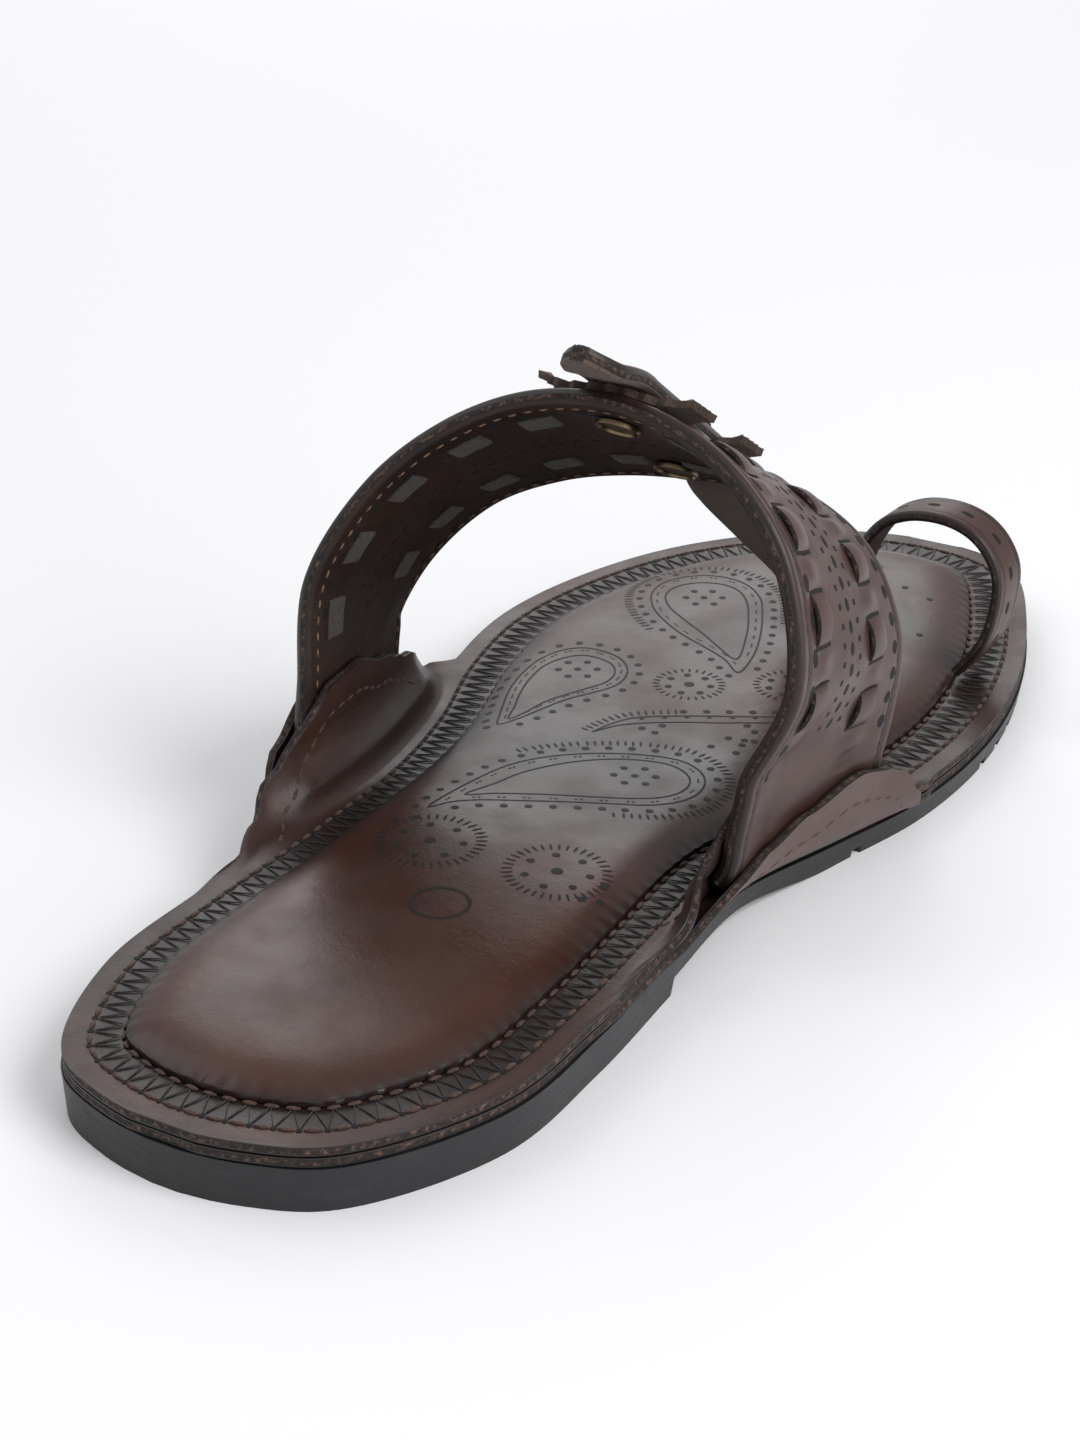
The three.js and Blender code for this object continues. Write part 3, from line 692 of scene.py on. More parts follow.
def makePad():
    def spots(across, t):
        y = alongFoot(padHalves, t)
        left, right = spanAt(padHalves, y)
        turn = (across - 0.5) * np.pi
        x = (left + right) / 2 + (right - left) / 2 * (0.6 * np.sin(turn) + 0.4 * (2 * across - 1))
        return x, y

    def top(across, t):
        x, y = spots(across, t)
        return np.stack([x, y, padTop(x, y)], axis=1)

    def bottom(across, t):
        x, y = spots(across, t)
        return np.stack([x, y, footbedTop(y) + gap], axis=1)

    def glow(across, t, points):
        d, _ = padDistance(points[:, 0], points[:, 1])
        heel = pad["heelGlow"] * (1 - smooth((points[:, 1] - pad["heelEnd"]) / pad["heelFade"]))
        return np.clip(pad["glow"] * hump(d, pad["glowPlace"], pad["glowReach"]) + heel, 0, 1)

    def shade(across, t, points):
        d, far = padDistance(points[:, 0], points[:, 1])
        return np.clip(np.exp(-d / pad["shadeReach"]) * (0.75 + 0.4 * pinchWave(far)), 0, 1)

    bm = bmesh.new()
    addSlab(bm, top, bottom, pad["columns"], pad["rows"], {"glow": glow, "shade": shade})
    finishes = [padLeather, lining, padLeather]
    piece = finishPiece("pad_leather", bm, finishes, ["padded_insole"], 60)


makePad()
print("pad made")


# Instep strap
class Surface:  # a curved band, read by distance along it and by place across it from 0 to 1
    def __init__(self, rows):
        self.lines = [through([row[k] for row in rows]) for k in range(len(rows[0]))]
        self.far = lengthsOf(self.middle())
        self.total = self.far[-1]

    def middle(self):
        half = (len(self.lines) - 1) / 2
        return (self.lines[math.floor(half)] + self.lines[math.ceil(half)]) / 2

    def spot(self, distance, place):
        lanes = np.stack([
            np.stack([np.interp(distance, self.far, line[:, k]) for k in range(3)], -1) for line in self.lines
        ])
        at = place * (len(self.lines) - 1)
        low = np.clip(np.floor(at), 0, len(self.lines) - 2).astype(int)
        rows = np.arange(len(at))
        return lanes[low, rows] + (lanes[low + 1, rows] - lanes[low, rows]) * (at - low)[:, None]

    def normal(self, distance, place):
        near = np.clip(distance, 0.8, self.total - 0.8)
        ahead = self.spot(near + 0.8, place) - self.spot(near - 0.8, place)
        sideways = self.spot(near, place + 0.05) - self.spot(near, place - 0.05)
        up = np.cross(sideways, ahead)
        return up / np.linalg.norm(up, axis=1)[:, None]

    def at(self, distance, place, rise=0.0):
        distance, place, rise = np.broadcast_arrays(
            np.atleast_1d(np.asarray(distance, float)), np.asarray(place, float), np.asarray(rise, float)
        )
        return self.spot(distance, place) + self.normal(distance, place) * rise[:, None]


strapArch = [  # outer face above the wings: rear edge x, y, z, then front edge, from the medial side
    (54.9, -35.8, 53.6, 55.6, 8.8, 47.6), (50.0, -32.0, 75.0, 47.7, 11.1, 62.1),
    (38.3, -27.8, 87.3, 36.0, 13.0, 68.8), (24.2, -25.0, 94.0, 23.6, 13.6, 70.9),
    (9.2, -23.8, 95.9, 10.6, 13.4, 70.5), (-5.8, -24.7, 93.5, -3.1, 13.0, 68.9),
    (-20.4, -27.6, 86.3, -17.4, 12.0, 65.3), (-34.1, -32.4, 73.6, -32.2, 9.7, 58.1),
    (-44.7, -37.6, 53.4, -45.2, 6.6, 44.8),
]


def strapSeat(side):
    rows = []
    for level in strapBody["seatHeights"]:
        y = np.linspace(side["rear"], side["front"], 5)
        x, z, inX, inZ, _ = sweepPoint(side, y, np.full(5, turnTo(side, level)), np.ones(5))
        offset = leather + sheets["seatGap"]
        rows.append(np.stack([side["sign"] * (x + inX * offset), y, z + inZ * offset], axis=1))
    return rows


archRows = [np.linspace(row[:3], row[3:], 5) for row in strapArch]
strap = Surface(strapSeat(sheets["medial"]) + archRows + strapSeat(sheets["lateral"])[::-1])
thong = {
    "width": 5.4, "length": 9.4, "pitch": 15.2, "first": 36.6, "count": 10, "places": (0.2, 0.72),
    "hidden": 13, "rise": 1.0, "sunk": 1.1, "backSunk": 0.7, "backOverlap": 2.6, "thickness": 0.9,
    "crown": 0.18, "ridge": 0.45, "dip": 0.35, "lane": 2.9,
}
relief = {  # rounded edges, and grooves under the seams: place, depth, width
    "edge": 1.1, "backEdge": 0.8,
    "grooves": [(3.1, 0.32, 0.45), (strapBody["width"] - 2.7, 0.28, 0.42)],
    "backGrooves": [(3.4, 0.25, 0.5), (strapBody["width"] - 3.2, 0.22, 0.5)],
    "edgeShade": 0.9, "grooveShade": 0.55, "endShade": 0.35, "endReach": 28, "endFade": 20,
}


def thongSpots(hiddenToo=False):
    spots = []
    for row, place in enumerate(thong["places"]):
        for i in range(thong["count"]):
            distance = thong["first"] + thong["pitch"] * (i - row / 2)
            if hiddenToo or abs(distance - strapBody["centre"]) > thong["hidden"]:
                spots.append((distance, place))
    return spots


def outerRise(distance, place):
    v = place * strapBody["width"]
    rise = roundOff(fromEdge(v, strapBody["width"]), relief["edge"])
    for at, depth, width in relief["grooves"]:
        rise = rise - depth * hump(v, at, width)
    for row, at in enumerate(thong["places"]):
        phase = (distance - thong["first"] + thong["pitch"] * row / 2) / thong["pitch"]
        away = np.abs(phase - np.round(phase)) * thong["pitch"] - thong["length"] / 2
        inRow = (phase > -0.9) & (phase < thong["count"] - 0.1)
        bulge = thong["ridge"] * smooth((away - 0.4) / 1.6) - thong["dip"] * (1 - smooth((away + 0.4) / 1.2))
        rise = rise + inRow * hump(v, at * strapBody["width"], thong["lane"]) * bulge
    return rise


def innerRise(distance, place):
    v = place * strapBody["width"]
    rise = -roundOff(fromEdge(v, strapBody["width"]), relief["backEdge"])
    for at, depth, width in relief["backGrooves"]:
        rise = rise + depth * hump(v, at, width)
    return rise


def onBack(distance, place, lift=0.0):  # a point on the strap's lining
    return strap.at(distance, place, innerRise(distance, place) - strapBody["thickness"] - lift)


def acrossStrap(a):
    return 0.5 - 0.5 * (0.45 * np.cos(np.pi * a) + 0.55 * (1 - 2 * a))


def makeStrap():
    bm = bmesh.new()

    def top(across, t):
        place = acrossStrap(across)
        return strap.at(t * strap.total, place, outerRise(t * strap.total, place))

    def bottom(across, t):
        return onBack(t * strap.total, acrossStrap(across))

    def shade(across, t, points):
        v = acrossStrap(across) * strapBody["width"]
        edge = np.exp(-fromEdge(v, strapBody["width"]) / relief["edge"])
        groove = sum(hump(v, at, 0.5) for at, _, _ in relief["grooves"])
        end = smooth((relief["endReach"] - fromEdge(t) * strap.total) / relief["endFade"])
        dark = relief["edgeShade"] * edge + relief["grooveShade"] * groove + relief["endShade"] * end
        return np.clip(dark, 0, 1)

    addSlab(bm, top, bottom, 66, 300, {"shade": shade})
    for distance, place in thongSpots():
        addThong(bm, distance, place, 1)
    for distance, place in thongSpots(True):
        addThong(bm, distance + thong["pitch"] / 2, place, -1)
    finishes = [strapLeather, lining, cutEdge, strapLeather, suede, cutEdge, thongBack, thongBack, thongBack]
    finishPiece("instep_strap", bm, finishes, ["upper"], 50)


def addThong(bm, distance, place, side):  # side 1 shows outside, side -1 inside
    length = thong["length"] if side > 0 else thong["pitch"] - thong["length"] + thong["backOverlap"]
    half = thong["width"] / 2 / strapBody["width"]
    base = 0.0 if side > 0 else -strapBody["thickness"]

    def face(offset):
        def placeAt(across, t):
            arc = np.clip(np.sin(np.pi * t), 0, 1)
            if side > 0:
                height = (thong["rise"] + thong["sunk"]) * arc**0.4 - thong["sunk"]
            else:
                height = np.clip(3.2 * arc, 0, 1) - thong["backSunk"]
            soft = thong["crown"] * (1 - (2 * across - 1) ** 4)
            rise = base + side * (height + offset + soft)
            return strap.at(distance + length * (t - 0.5), place + (2 * across - 1) * half, rise)
        return placeAt

    faces = [face(0), face(-thong["thickness"])]
    addSlab(bm, *faces[::side], 4, 10, shift=3 if side > 0 else 6)


makeStrap()
print("instep strap made, length", round(strap.total, 1))


# Stitches are small ellipsoids laid along a line. Their sizes are width and height.
seams = {
    "pitch": 3.7, "outer": 4.7, "inner": 0.5, "ring": (0.95, 0.6), "zigzag": (0.17, 0.34), "prick": 0.55,
    "loopFoot": (43, 80), "loopRoom": (3, 7),
    "wing": 6.2, "wingThread": (0.85, 0.55), "wingRuns": {"medial": (-52, 17), "lateral": (-61, 12)},
    "strapPitch": 3.1, "strapEnd": 6, "strapThread": (0.6, 0.4), "liningThread": (0.65, 0.4),
}
upright = np.array([0.0, 0.0, 1.0])


def addStitch(bm, start, end, up, width, height):
    start, end, up = (Vector(np.asarray(p, float)) for p in (start, end, up))
    ahead = end - start
    side = up.cross(ahead).normalized()
    level = Matrix((ahead / 2, side * width / 2, ahead.cross(side).normalized() * height / 2)).transposed()
    turn = Matrix.Translation((start + end) / 2 * mm) @ (level * mm).to_4x4()
    bmesh.ops.create_uvsphere(bm, u_segments=6, v_segments=4, radius=1, matrix=turn)


def addLine(bm, path, ups, pitch, share, size):  # a line of stitches along a path
    far = lengthsOf(path)
    count = max(1, round(far[-1] / pitch))
    ends = np.linspace(0, far[-1], count + 1)
    pull = (1 - share) / 2 * far[-1] / count
    for a, b in zip(ends[:-1] + pull, ends[1:] - pull):
        points = [[np.interp(at, far, path[:, k]) for k in range(3)] for at in (a, b)]
        up = [np.interp((a + b) / 2, far, ups[:, k]) for k in range(3)]
        addStitch(bm, *points, up, *size)


def addDisc(bm, settle, radii, segments=10, turn=0.0):  # settle lays flat points on a surface
    flat = flatLayer(bm)
    verts = bmesh.ops.create_circle(bm, cap_ends=True, cap_tris=True, segments=segments, radius=1)["verts"]
    spots = np.array([v.co[:2] for v in verts])
    if segments == 4:
        spots = np.sign(np.round(spots @ np.array([[1, 1], [-1, 1]]), 3))
    for f in {f for v in verts for f in v.link_faces}:
        f.smooth = True
        for loop in f.loops:
            loop[flat].uv = loop.vert.co[:2]
    local = spots * np.array(radii)
    c, s = math.cos(turn), math.sin(turn)
    local = np.stack([local[:, 0] * c - local[:, 1] * s, local[:, 0] * s + local[:, 1] * c], axis=1)
    for v, at in zip(verts, settle(local) * mm):
        v.co = at


def makeBandSeams():
    rings = [insetOutline(seams["outer"]), insetOutline(padInset - seams["inner"])]
    middle = lengthsOf(np.vstack([(rings[0] + rings[1]) / 2, (rings[0][:1] + rings[1][:1]) / 2]))
    count = round(middle[-1] / seams["pitch"])
    at = np.interp(np.arange(2 * count) / 2 * middle[-1] / count, middle, np.arange(len(middle)))
    index = np.arange(len(outline) + 1)

    def spots(ring, rise):
        ring = np.vstack([ring, ring[:1]])
        x, y = (np.interp(at, index, ring[:, k]) for k in (0, 1))
        return np.stack([x, y, footbedTop(y) + rise], axis=1)

    # The needle pricks beside the outer stitches are dark discs with painted shade in place of holes.
    def prick(spot):
        def settle(local):
            return np.column_stack([local + spot[:2], np.full(len(local), spot[2])])

        addDisc(pricks, settle, (seams["prick"], seams["prick"]), 8)

    stitches, threads, pricks = bmesh.new(), bmesh.new(), bmesh.new()
    outer, close = spots(rings[0], 0.12), spots(rings[1], 0.25)
    for i in range(0, 2 * count, 2):
        j, k = (i + 1) % (2 * count), (i + 2) % (2 * count)
        for line in (outer, close):
            a, b = line[i], line[k]
            if all(abs(b[n] - seams["loopFoot"][n]) < seams["loopRoom"][n] for n in (0, 1)):
                continue
            addStitch(stitches, a + (b - a) * 0.1, b - (b - a) * 0.1, upright, *seams["ring"])
            if line is outer:
                prick(a)
        addStitch(threads, outer[i], close[j], upright, *seams["zigzag"])
        addStitch(threads, close[j], outer[k], upright, *seams["zigzag"])
    finishPiece("band_stitches", stitches, [brownThread], shade=0)
    finishPiece("band_threads", threads, [blackThread], shade=0)
    finishPiece("band_holes", pricks, [holeShade], shade=0, outward=False)


def wingLine(side, ys, inner):  # a line that keeps its distance from a wing's free edge
    across = np.linspace(1.0 if side["sign"] > 0 else 0.0, 0.5, 90)
    path, ups = [], []
    for y in ys:
        points = sheetPoint(across, np.full(90, y), inner, leather if inner else 0.0)
        far = lengthsOf(points)
        near = seams["wing"] + np.array([-0.5, 0, 0.5])
        before, spot, after = np.stack([np.interp(near, far, points[:, k]) for k in range(3)], axis=1)
        normal = np.cross(after - before, [0, 1, 0]) * side["sign"] * (1 if inner else -1)
        path.append(spot)
        ups.append(normal / np.linalg.norm(normal))
    return np.array(path), np.array(ups)


def makeWingSeams():
    bm = bmesh.new()
    for name, (rear, front) in seams["wingRuns"].items():
        for inner in (True, False):
            path, ups = wingLine(sheets[name], np.linspace(rear, front, 60), inner)
            addLine(bm, path + ups * 0.1, ups, seams["pitch"], 0.9, seams["wingThread"])
    finishPiece("wing_stitches", bm, [brownThread], shade=0)


def makeStrapSeams():
    outside, inside = bmesh.new(), bmesh.new()
    far = np.linspace(seams["strapEnd"], strap.total - seams["strapEnd"], 260)
    for v, _, _ in relief["grooves"]:
        place = v / strapBody["width"]
        ups = strap.normal(far, np.full(len(far), place))
        path = strap.at(far, place, outerRise(far, place) + 0.08)
        addLine(outside, path, ups, seams["strapPitch"], 0.82, seams["strapThread"])
        addLine(inside, onBack(far, place, 0.05), -ups, seams["strapPitch"], 0.62, seams["liningThread"])
    finishPiece("strap_stitches", outside, [blackThread], shade=0)
    finishPiece("lining_stitches", inside, [tanThread], shade=0)


makeBandSeams()
makeWingSeams()
makeStrapSeams()
print("stitched")


# Punched holes, slits and stamped marks are thin pieces that follow the leather under them; holes and slits
# are dark discs with the shade inside the openings painted on.
def onStrap(distance, v, lift, outside=True):
    def settle(local):
        far = distance + local[:, 0]
        place = (v + local[:, 1]) / strapBody["width"]
        if outside:
            return strap.at(far, place, outerRise(far, place) + lift)
        return onBack(far, place, lift)
    return settle


def punchRow(name, surface, width, rise, first, pitch, count, radii):  # holes along a narrow strap, dark discs with the shade inside them painted on
    bm = bmesh.new()
    for far in first + pitch * np.arange(count):
        def settle(local, far=far):
            return surface.at(far + local[:, 0], 0.5 + local[:, 1] / width, rise)

        addDisc(bm, settle, radii)
    finishPiece(name, bm, [holeShade], outward=False)


holes = {  # rows along the strap: where they cross it, first and last place, pitch, radii, sides
    "lift": 0.035, "slitLift": 0.05, "slitWidth": 3.1,
    "rows": [
        (5.2, 23, 188, 5.8, (1.5, 0.95), 10), (40.6, 23, 188, 5.8, (1.5, 0.95), 10),
        (21.6, 29, 186, 3.9, (1.25, 0.75), 10),
        (18.2, 29, 186, 3.35, (0.52, 0.52), 4), (25.0, 29, 186, 3.35, (0.52, 0.52), 4),
    ],
}


def makeHoles():
    bm = bmesh.new()
    for v, first, last, pitch, radii, sides in holes["rows"]:
        for i in range(int((last - first) / pitch)):
            spot = first + pitch * i
            addDisc(bm, onStrap(spot, v, holes["lift"]), radii, sides)
            addDisc(bm, onStrap(spot, v, holes["lift"], False), (radii[0] * 0.8, radii[1] * 0.8), 8)
    # Dark slits at both ends of each thong paint the shade inside the slots.
    for distance, place in thongSpots():
        for end in (-0.25, 0.25):
            at = distance + end * thong["length"]
            spot = onStrap(at, place * strapBody["width"], holes["slitLift"])
            addDisc(bm, spot, (thong["length"] / 4 + 0.05, holes["slitWidth"]), 4)
    finishPiece("strap_holes", bm, [holeShade], outward=False)


makeHoles()
print("holes punched")

# Stamped ornament on the pad, as seen from above: teardrops, rosettes, loose dots and a plain ring.
stamp = {
    "lift": 0.05, "line": 0.42, "ringLine": 0.75, "dot": 0.8, "pitch": 4.5, "dashPitch": 1.55,
    "drop": {
        "pairs": 24, "pairsIn": 1.3, "pair": (0.34, 0.26), "dotsOut": 2.5, "dashesOut": 4.9,
        "dash": (1.15, 0.3), "heartReach": 4.0,
    },
    "stem": {"dots": 2.0, "small": -0.75, "smallDot": (0.6, 0.34), "dashes": 1.9, "dash": (1.1, 0.28)},
    "rosette": {
        "dots": 7, "dotsAt": 0.58, "heart": 1.15, "raysAt": 0.88, "ray": (0.115, 0.28), "rayPitch": 1.75,
    },
    "teardrops": [
        {
            "outer": [
                (-15.7, -40.5), (-14.8, -25.3), (-12.9, -15.5), (-9.2, -8.4), (-3.6, -2.5), (2.0, 1.4),
                (8.2, 4.2), (13.7, 5.1), (18.5, 3.1), (21.4, -0.4), (22.6, -5.2), (21.7, -10.7),
                (17.7, -16.4), (12.3, -19.9), (5.0, -24.2), (-2.9, -29.1), (-9.6, -33.2), (-13.4, -36.7),
            ],
            "inner": [
                (-12.8, -32.3), (-10.7, -24.9), (-9.2, -18.0), (-6.3, -11.5), (-2.0, -5.4), (3.2, -0.9),
                (8.5, 1.6), (13.0, 2.2), (17.3, 0.2), (19.5, -3.2), (19.7, -7.9), (17.7, -12.2),
                (13.4, -16.0), (7.7, -19.4), (-0.4, -23.9), (-8.4, -28.9),
            ],
            "heart": (9.3, -6.2), "dashes": (0.23, 0.79),
        },
        {
            "outer": [
                (-25.5, 1.9), (-27.8, 6.3), (-30.2, 12.0), (-32.7, 18.8), (-34.2, 26.5), (-34.1, 33.8),
                (-31.9, 39.5), (-28.2, 42.5), (-23.6, 42.8), (-19.2, 41.4), (-15.5, 37.8), (-13.7, 33.2),
                (-13.7, 28.9), (-15.8, 24.2), (-18.8, 19.0), (-21.1, 12.8), (-23.1, 6.2),
            ],
            "inner": [
                (-24.9, 5.0), (-27.1, 11.1), (-29.2, 16.8), (-31.0, 24.1), (-31.4, 31.0), (-29.8, 35.7),
                (-26.8, 38.9), (-22.8, 39.2), (-19.1, 37.8), (-16.6, 34.3), (-16.1, 29.6), (-18.3, 24.5),
                (-20.5, 20.0), (-22.5, 15.3), (-23.6, 9.0),
            ],
            "heart": (-24.2, 32.3), "dashes": None,
        },
        {
            "outer": [
                (5.1, 47.7), (-0.1, 52.2), (-7.2, 56.0), (-13.5, 59.0), (-20.0, 63.5), (-25.5, 68.8),
                (-29.5, 76.1), (-30.0, 83.1), (-26.6, 88.6), (-20.5, 91.5), (-13.9, 90.5), (-7.7, 85.3),
                (-3.1, 76.9), (1.5, 65.9), (4.5, 55.8),
            ],
            "inner": [
                (1.9, 53.4), (-3.5, 56.8), (-10.1, 61.8), (-17.4, 66.7), (-23.0, 71.2), (-26.3, 76.4),
                (-26.5, 81.2), (-23.7, 85.4), (-18.6, 87.6), (-13.7, 86.5), (-9.7, 82.5), (-5.7, 75.4),
                (-1.0, 64.3),
            ],
            "heart": (-18.2, 79.0), "dashes": (0.2, 0.8),
        },
    ],
    "stems": [
        [
            (-7.4, 7.5), (-6.1, 12.5), (-3.6, 17.3), (2.4, 22.0), (8.8, 25.9), (15.4, 29.6), (21.8, 33.4),
            (29.0, 37.4),
        ],
        [
            (-7.1, 8.1), (-4.4, 13.0), (-0.7, 16.4), (5.6, 20.7), (12.1, 24.3), (18.1, 28.0), (23.6, 31.2),
            (30.6, 35.0),
        ],
    ],
    "rosettes": [(-1.0, 37.4, 7.7), (17.0, 47.4, 7.7), (-8.3, -51.9, 10.6), (16.8, -50.0, 10.2)],
    "dots": [
        (0.2, 14.3), (3.1, 17.4), (3.3, 13.8), (17.6, 26.1), (20.1, 24.4), (16.8, 19.2), (19.9, 20.0),
        (21.8, 20.6), (23.8, 21.1), (15.5, 14.1), (20.4, 17.9), (20.9, 14.2), (26.0, 18.6), (-17.7, -52.3),
        (-18.2, -47.8), (-15.4, -45.2), (25.8, -49.1), (24.8, -55.6), (27.6, -53.9), (17.7, 106.8),
        (24.6, 104.4), (8.4, 114.5), (29.9, 85.7), (3.0, 108.0), (12.5, 98.0),
    ],
    "ring": (5.0, -70.4, 5.2),
}


def onPad(flat):
    return np.column_stack([flat, padTop(flat[:, 0], flat[:, 1]) + stamp["lift"]])


def addMark(bm, spot, long, wide, turn=0.0, segments=8):
    addDisc(bm, lambda local: onPad(local + spot), (long, wide), segments, turn)


def besidePath(path, distance):  # a path moved to its left
    along = np.gradient(path, axis=0)
    left = np.stack([-along[:, 1], along[:, 0]], axis=1)
    return path + left / np.linalg.norm(left, axis=1)[:, None] * distance


def addRibbon(bm, path, width):
    made = bmesh.ops.create_grid(bm, x_segments=len(path) - 1, y_segments=1, size=0.5)["verts"]
    grid = np.array([v.co[:2] for v in made])
    index = np.rint((grid[:, 0] + 0.5) * (len(path) - 1)).astype(int)
    edges = [besidePath(path, side * width / 2) for side in (-1, 1)]
    points = onPad(np.where(grid[:, 1:] > 0, edges[1][index], edges[0][index]))
    for v, at in zip(made, points * mm):
        v.co = at


def addRow(bm, path, pitch, long, wide, turn, start=0.0, end=1.0, segments=8):
    count = max(1, round(lengthsOf(path)[-1] * (end - start) / pitch))
    for spot, way in markSpots(path, start, end, count):
        addMark(bm, spot, long, wide, way + turn, segments)


def markSpots(path, start, end, count):
    fine = evenly(path, 400)
    heading = np.gradient(fine, axis=0)
    for part in np.linspace(start, end, count, endpoint=False):
        i = int(part * 399)
        yield fine[i], math.atan2(heading[i, 1], heading[i, 0])


def around(spot, reach, turn):
    return np.array(spot) + reach * np.array([math.cos(turn), math.sin(turn)])


def stampTeardrop(bm, drop):
    sizes, dot = stamp["drop"], stamp["dot"]
    outer = evenly(through(drop["outer"], closed=True, fine=8), 120)
    inner = evenly(through(drop["inner"], closed=True, fine=8), 100)
    addRibbon(bm, outer, stamp["line"])
    addRibbon(bm, inner, stamp["line"])
    for spot, way in markSpots(besidePath(outer, -sizes["pairsIn"]), 0.04, 0.96, sizes["pairs"]):
        for shift in (-0.5, 0.5):
            addMark(bm, around(spot, shift, way), *sizes["pair"], way, 6)
    addRow(bm, besidePath(outer, sizes["dotsOut"]), stamp["pitch"], dot, dot, 0)
    if drop["dashes"]:
        path = besidePath(outer, sizes["dashesOut"])
        addRow(bm, path, stamp["dashPitch"], *sizes["dash"], math.pi / 2, *drop["dashes"], segments=6)
    addMark(bm, drop["heart"], dot, dot)
    for i in range(1, 7):
        addMark(bm, around(drop["heart"], sizes["heartReach"], i * math.pi / 3 + 0.5), dot, dot)


def stampStems(bm):
    sizes, dot = stamp["stem"], stamp["dot"]
    for line in stamp["stems"]:
        addRibbon(bm, evenly(through(line, fine=8), 60), stamp["line"])
    stem = evenly(through(stamp["stems"][0], fine=8), 60)
    addRow(bm, besidePath(stem, sizes["dots"]), stamp["pitch"], dot, dot, 0, 0.45, 1.0)
    addRow(bm, besidePath(stem, sizes["small"]), stamp["pitch"], *sizes["smallDot"], 0, 0.25, 1.0, 6)
    path = besidePath(stem, sizes["dashes"])
    addRow(bm, path, stamp["dashPitch"], *sizes["dash"], math.pi / 2, 0.0, 0.45, 6)


def stampRosette(bm, x, y, radius):
    sizes, dot = stamp["rosette"], stamp["dot"]
    for i in range(sizes["dots"]):
        turn = (i + 0.35) * 2 * math.pi / sizes["dots"]
        addMark(bm, around((x, y), sizes["dotsAt"] * radius, turn), dot, dot)
    addMark(bm, (x, y), sizes["heart"], sizes["heart"])
    count = round(2 * math.pi * radius / sizes["rayPitch"])
    for i in range(count):
        turn = i * 2 * math.pi / count
        spot = around((x, y), sizes["raysAt"] * radius, turn)
        addMark(bm, spot, sizes["ray"][0] * radius, sizes["ray"][1], turn, 6)


def makeStamps():
    bm = bmesh.new()
    for drop in stamp["teardrops"]:
        stampTeardrop(bm, drop)
    stampStems(bm)
    for rosette in stamp["rosettes"]:
        stampRosette(bm, *rosette)
    for spot in stamp["dots"]:
        addMark(bm, spot, stamp["dot"], stamp["dot"])
    x, y, radius = stamp["ring"]
    turns = np.linspace(0, 2 * math.pi, 60)
    circle = np.stack([x + radius * np.cos(turns), y + radius * np.sin(turns)], axis=1)
    addRibbon(bm, circle, stamp["ringLine"])
    for f in bm.faces:
        f.smooth = True
        if f.normal.z < 0:
            f.normal_flip()
    finishPiece("pad_stamps", bm, [stampDark], outward=False)


makeStamps()
print("pad stamped")

# Centre strap
centre = {
    "thickness": 3, "lift": 2.1, "meanWidth": 11, "groove": (0.16, 0.25, 0.05),
    "holes": {"first": 62, "pitch": 6.2, "count": 17, "radii": (1.5, 0.75)},
    "tip": [(10.5, -35.5, 104.6, 1.4), (10.4, -33.2, 102.6, 4.2), (10.4, -29.5, 100.2, 6.0)],
    "riding": [(0.04, 6.8), (0.2, 6.8), (0.4, 6.5), (0.6, 6.2), (0.785, 5.9), (0.9, 5.6), (0.98, 5.5)],
    "free": [
        (9.9, 17.6, 68.9, 5.4), (9.7, 20.9, 63.0, 5.3), (9.6, 27.0, 57.4, 5.2), (9.6, 38.0, 48.8, 5.2),
        (9.6, 50.0, 39.6, 5.1), (9.7, 62.0, 30.2, 5.0), (9.8, 72.0, 21.0, 4.8), (9.9, 80.0, 13.4, 4.5),
        (10.0, 84.5, 10.9, 4.2),
    ],
}


def makeCentreStrap():
    stations = [(np.array(row[:3]), row[3]) for row in centre["tip"]]
    for place, half in centre["riding"]:
        stations.append((strap.at(strapBody["centre"], place, centre["lift"])[0], half))
    stations += [(np.array(row[:3]), row[3]) for row in centre["free"]]
    lanes = np.array([[-1, 0, 0], [0, 0, 0], [1, 0, 0]])
    ride = Surface([middle + lanes * half for middle, half in stations])
    at, depth, width = centre["groove"]

    def rise(across):
        return roundOff(fromEdge(across) * centre["meanWidth"], 1)

    def top(across, t):
        dent = depth * hump(fromEdge(across), at, width)
        return ride.at(t * ride.total, across, centre["thickness"] + 0.9 * rise(across) - dent)

    def bottom(across, t):
        return ride.at(t * ride.total, across, -0.6 * rise(across))

    def shade(across, t, points):
        d = fromEdge(across)
        return np.clip(np.exp(-d / 0.08) + 0.5 * hump(d, at, width), 0, 1)

    bm = bmesh.new()
    addSlab(bm, top, bottom, 18, 190, {"shade": shade})
    finishPiece("centre_strap", bm, [strapLeather, suede, cutEdge], ["upper"], 50)
    punchRow("centre_holes", ride, centre["meanWidth"], centre["thickness"] + 0.05, **centre["holes"])
    return ride.total


rideLength = makeCentreStrap()
print("centre strap made, length", round(rideLength, 1))

# Toe loop
loop = {
    "width": 10, "thickness": 2.2, "turn": (0.9, 10, 0.2), "edge": 0.7, "backEdge": 0.5,
    "groove": (1.7, 0.2, 0.35), "holes": {"first": 10, "pitch": 7.9, "count": 11, "radii": (1.5, 0.7)},
    "rear": [
        (42.8, 75.5, 9.8), (48.0, 74.9, 17.5), (50.1, 74.7, 24.4), (50.4, 74.5, 33.7), (47.6, 74.6, 39.3),
        (43.6, 74.9, 42.7), (38.8, 75.4, 44.3), (33.2, 76.0, 44.5), (27.2, 76.9, 43.1), (21.0, 78.1, 39.2),
        (15.1, 79.8, 29.7), (12.2, 81.3, 18.0), (10.2, 82.6, 9.9),
    ],
}


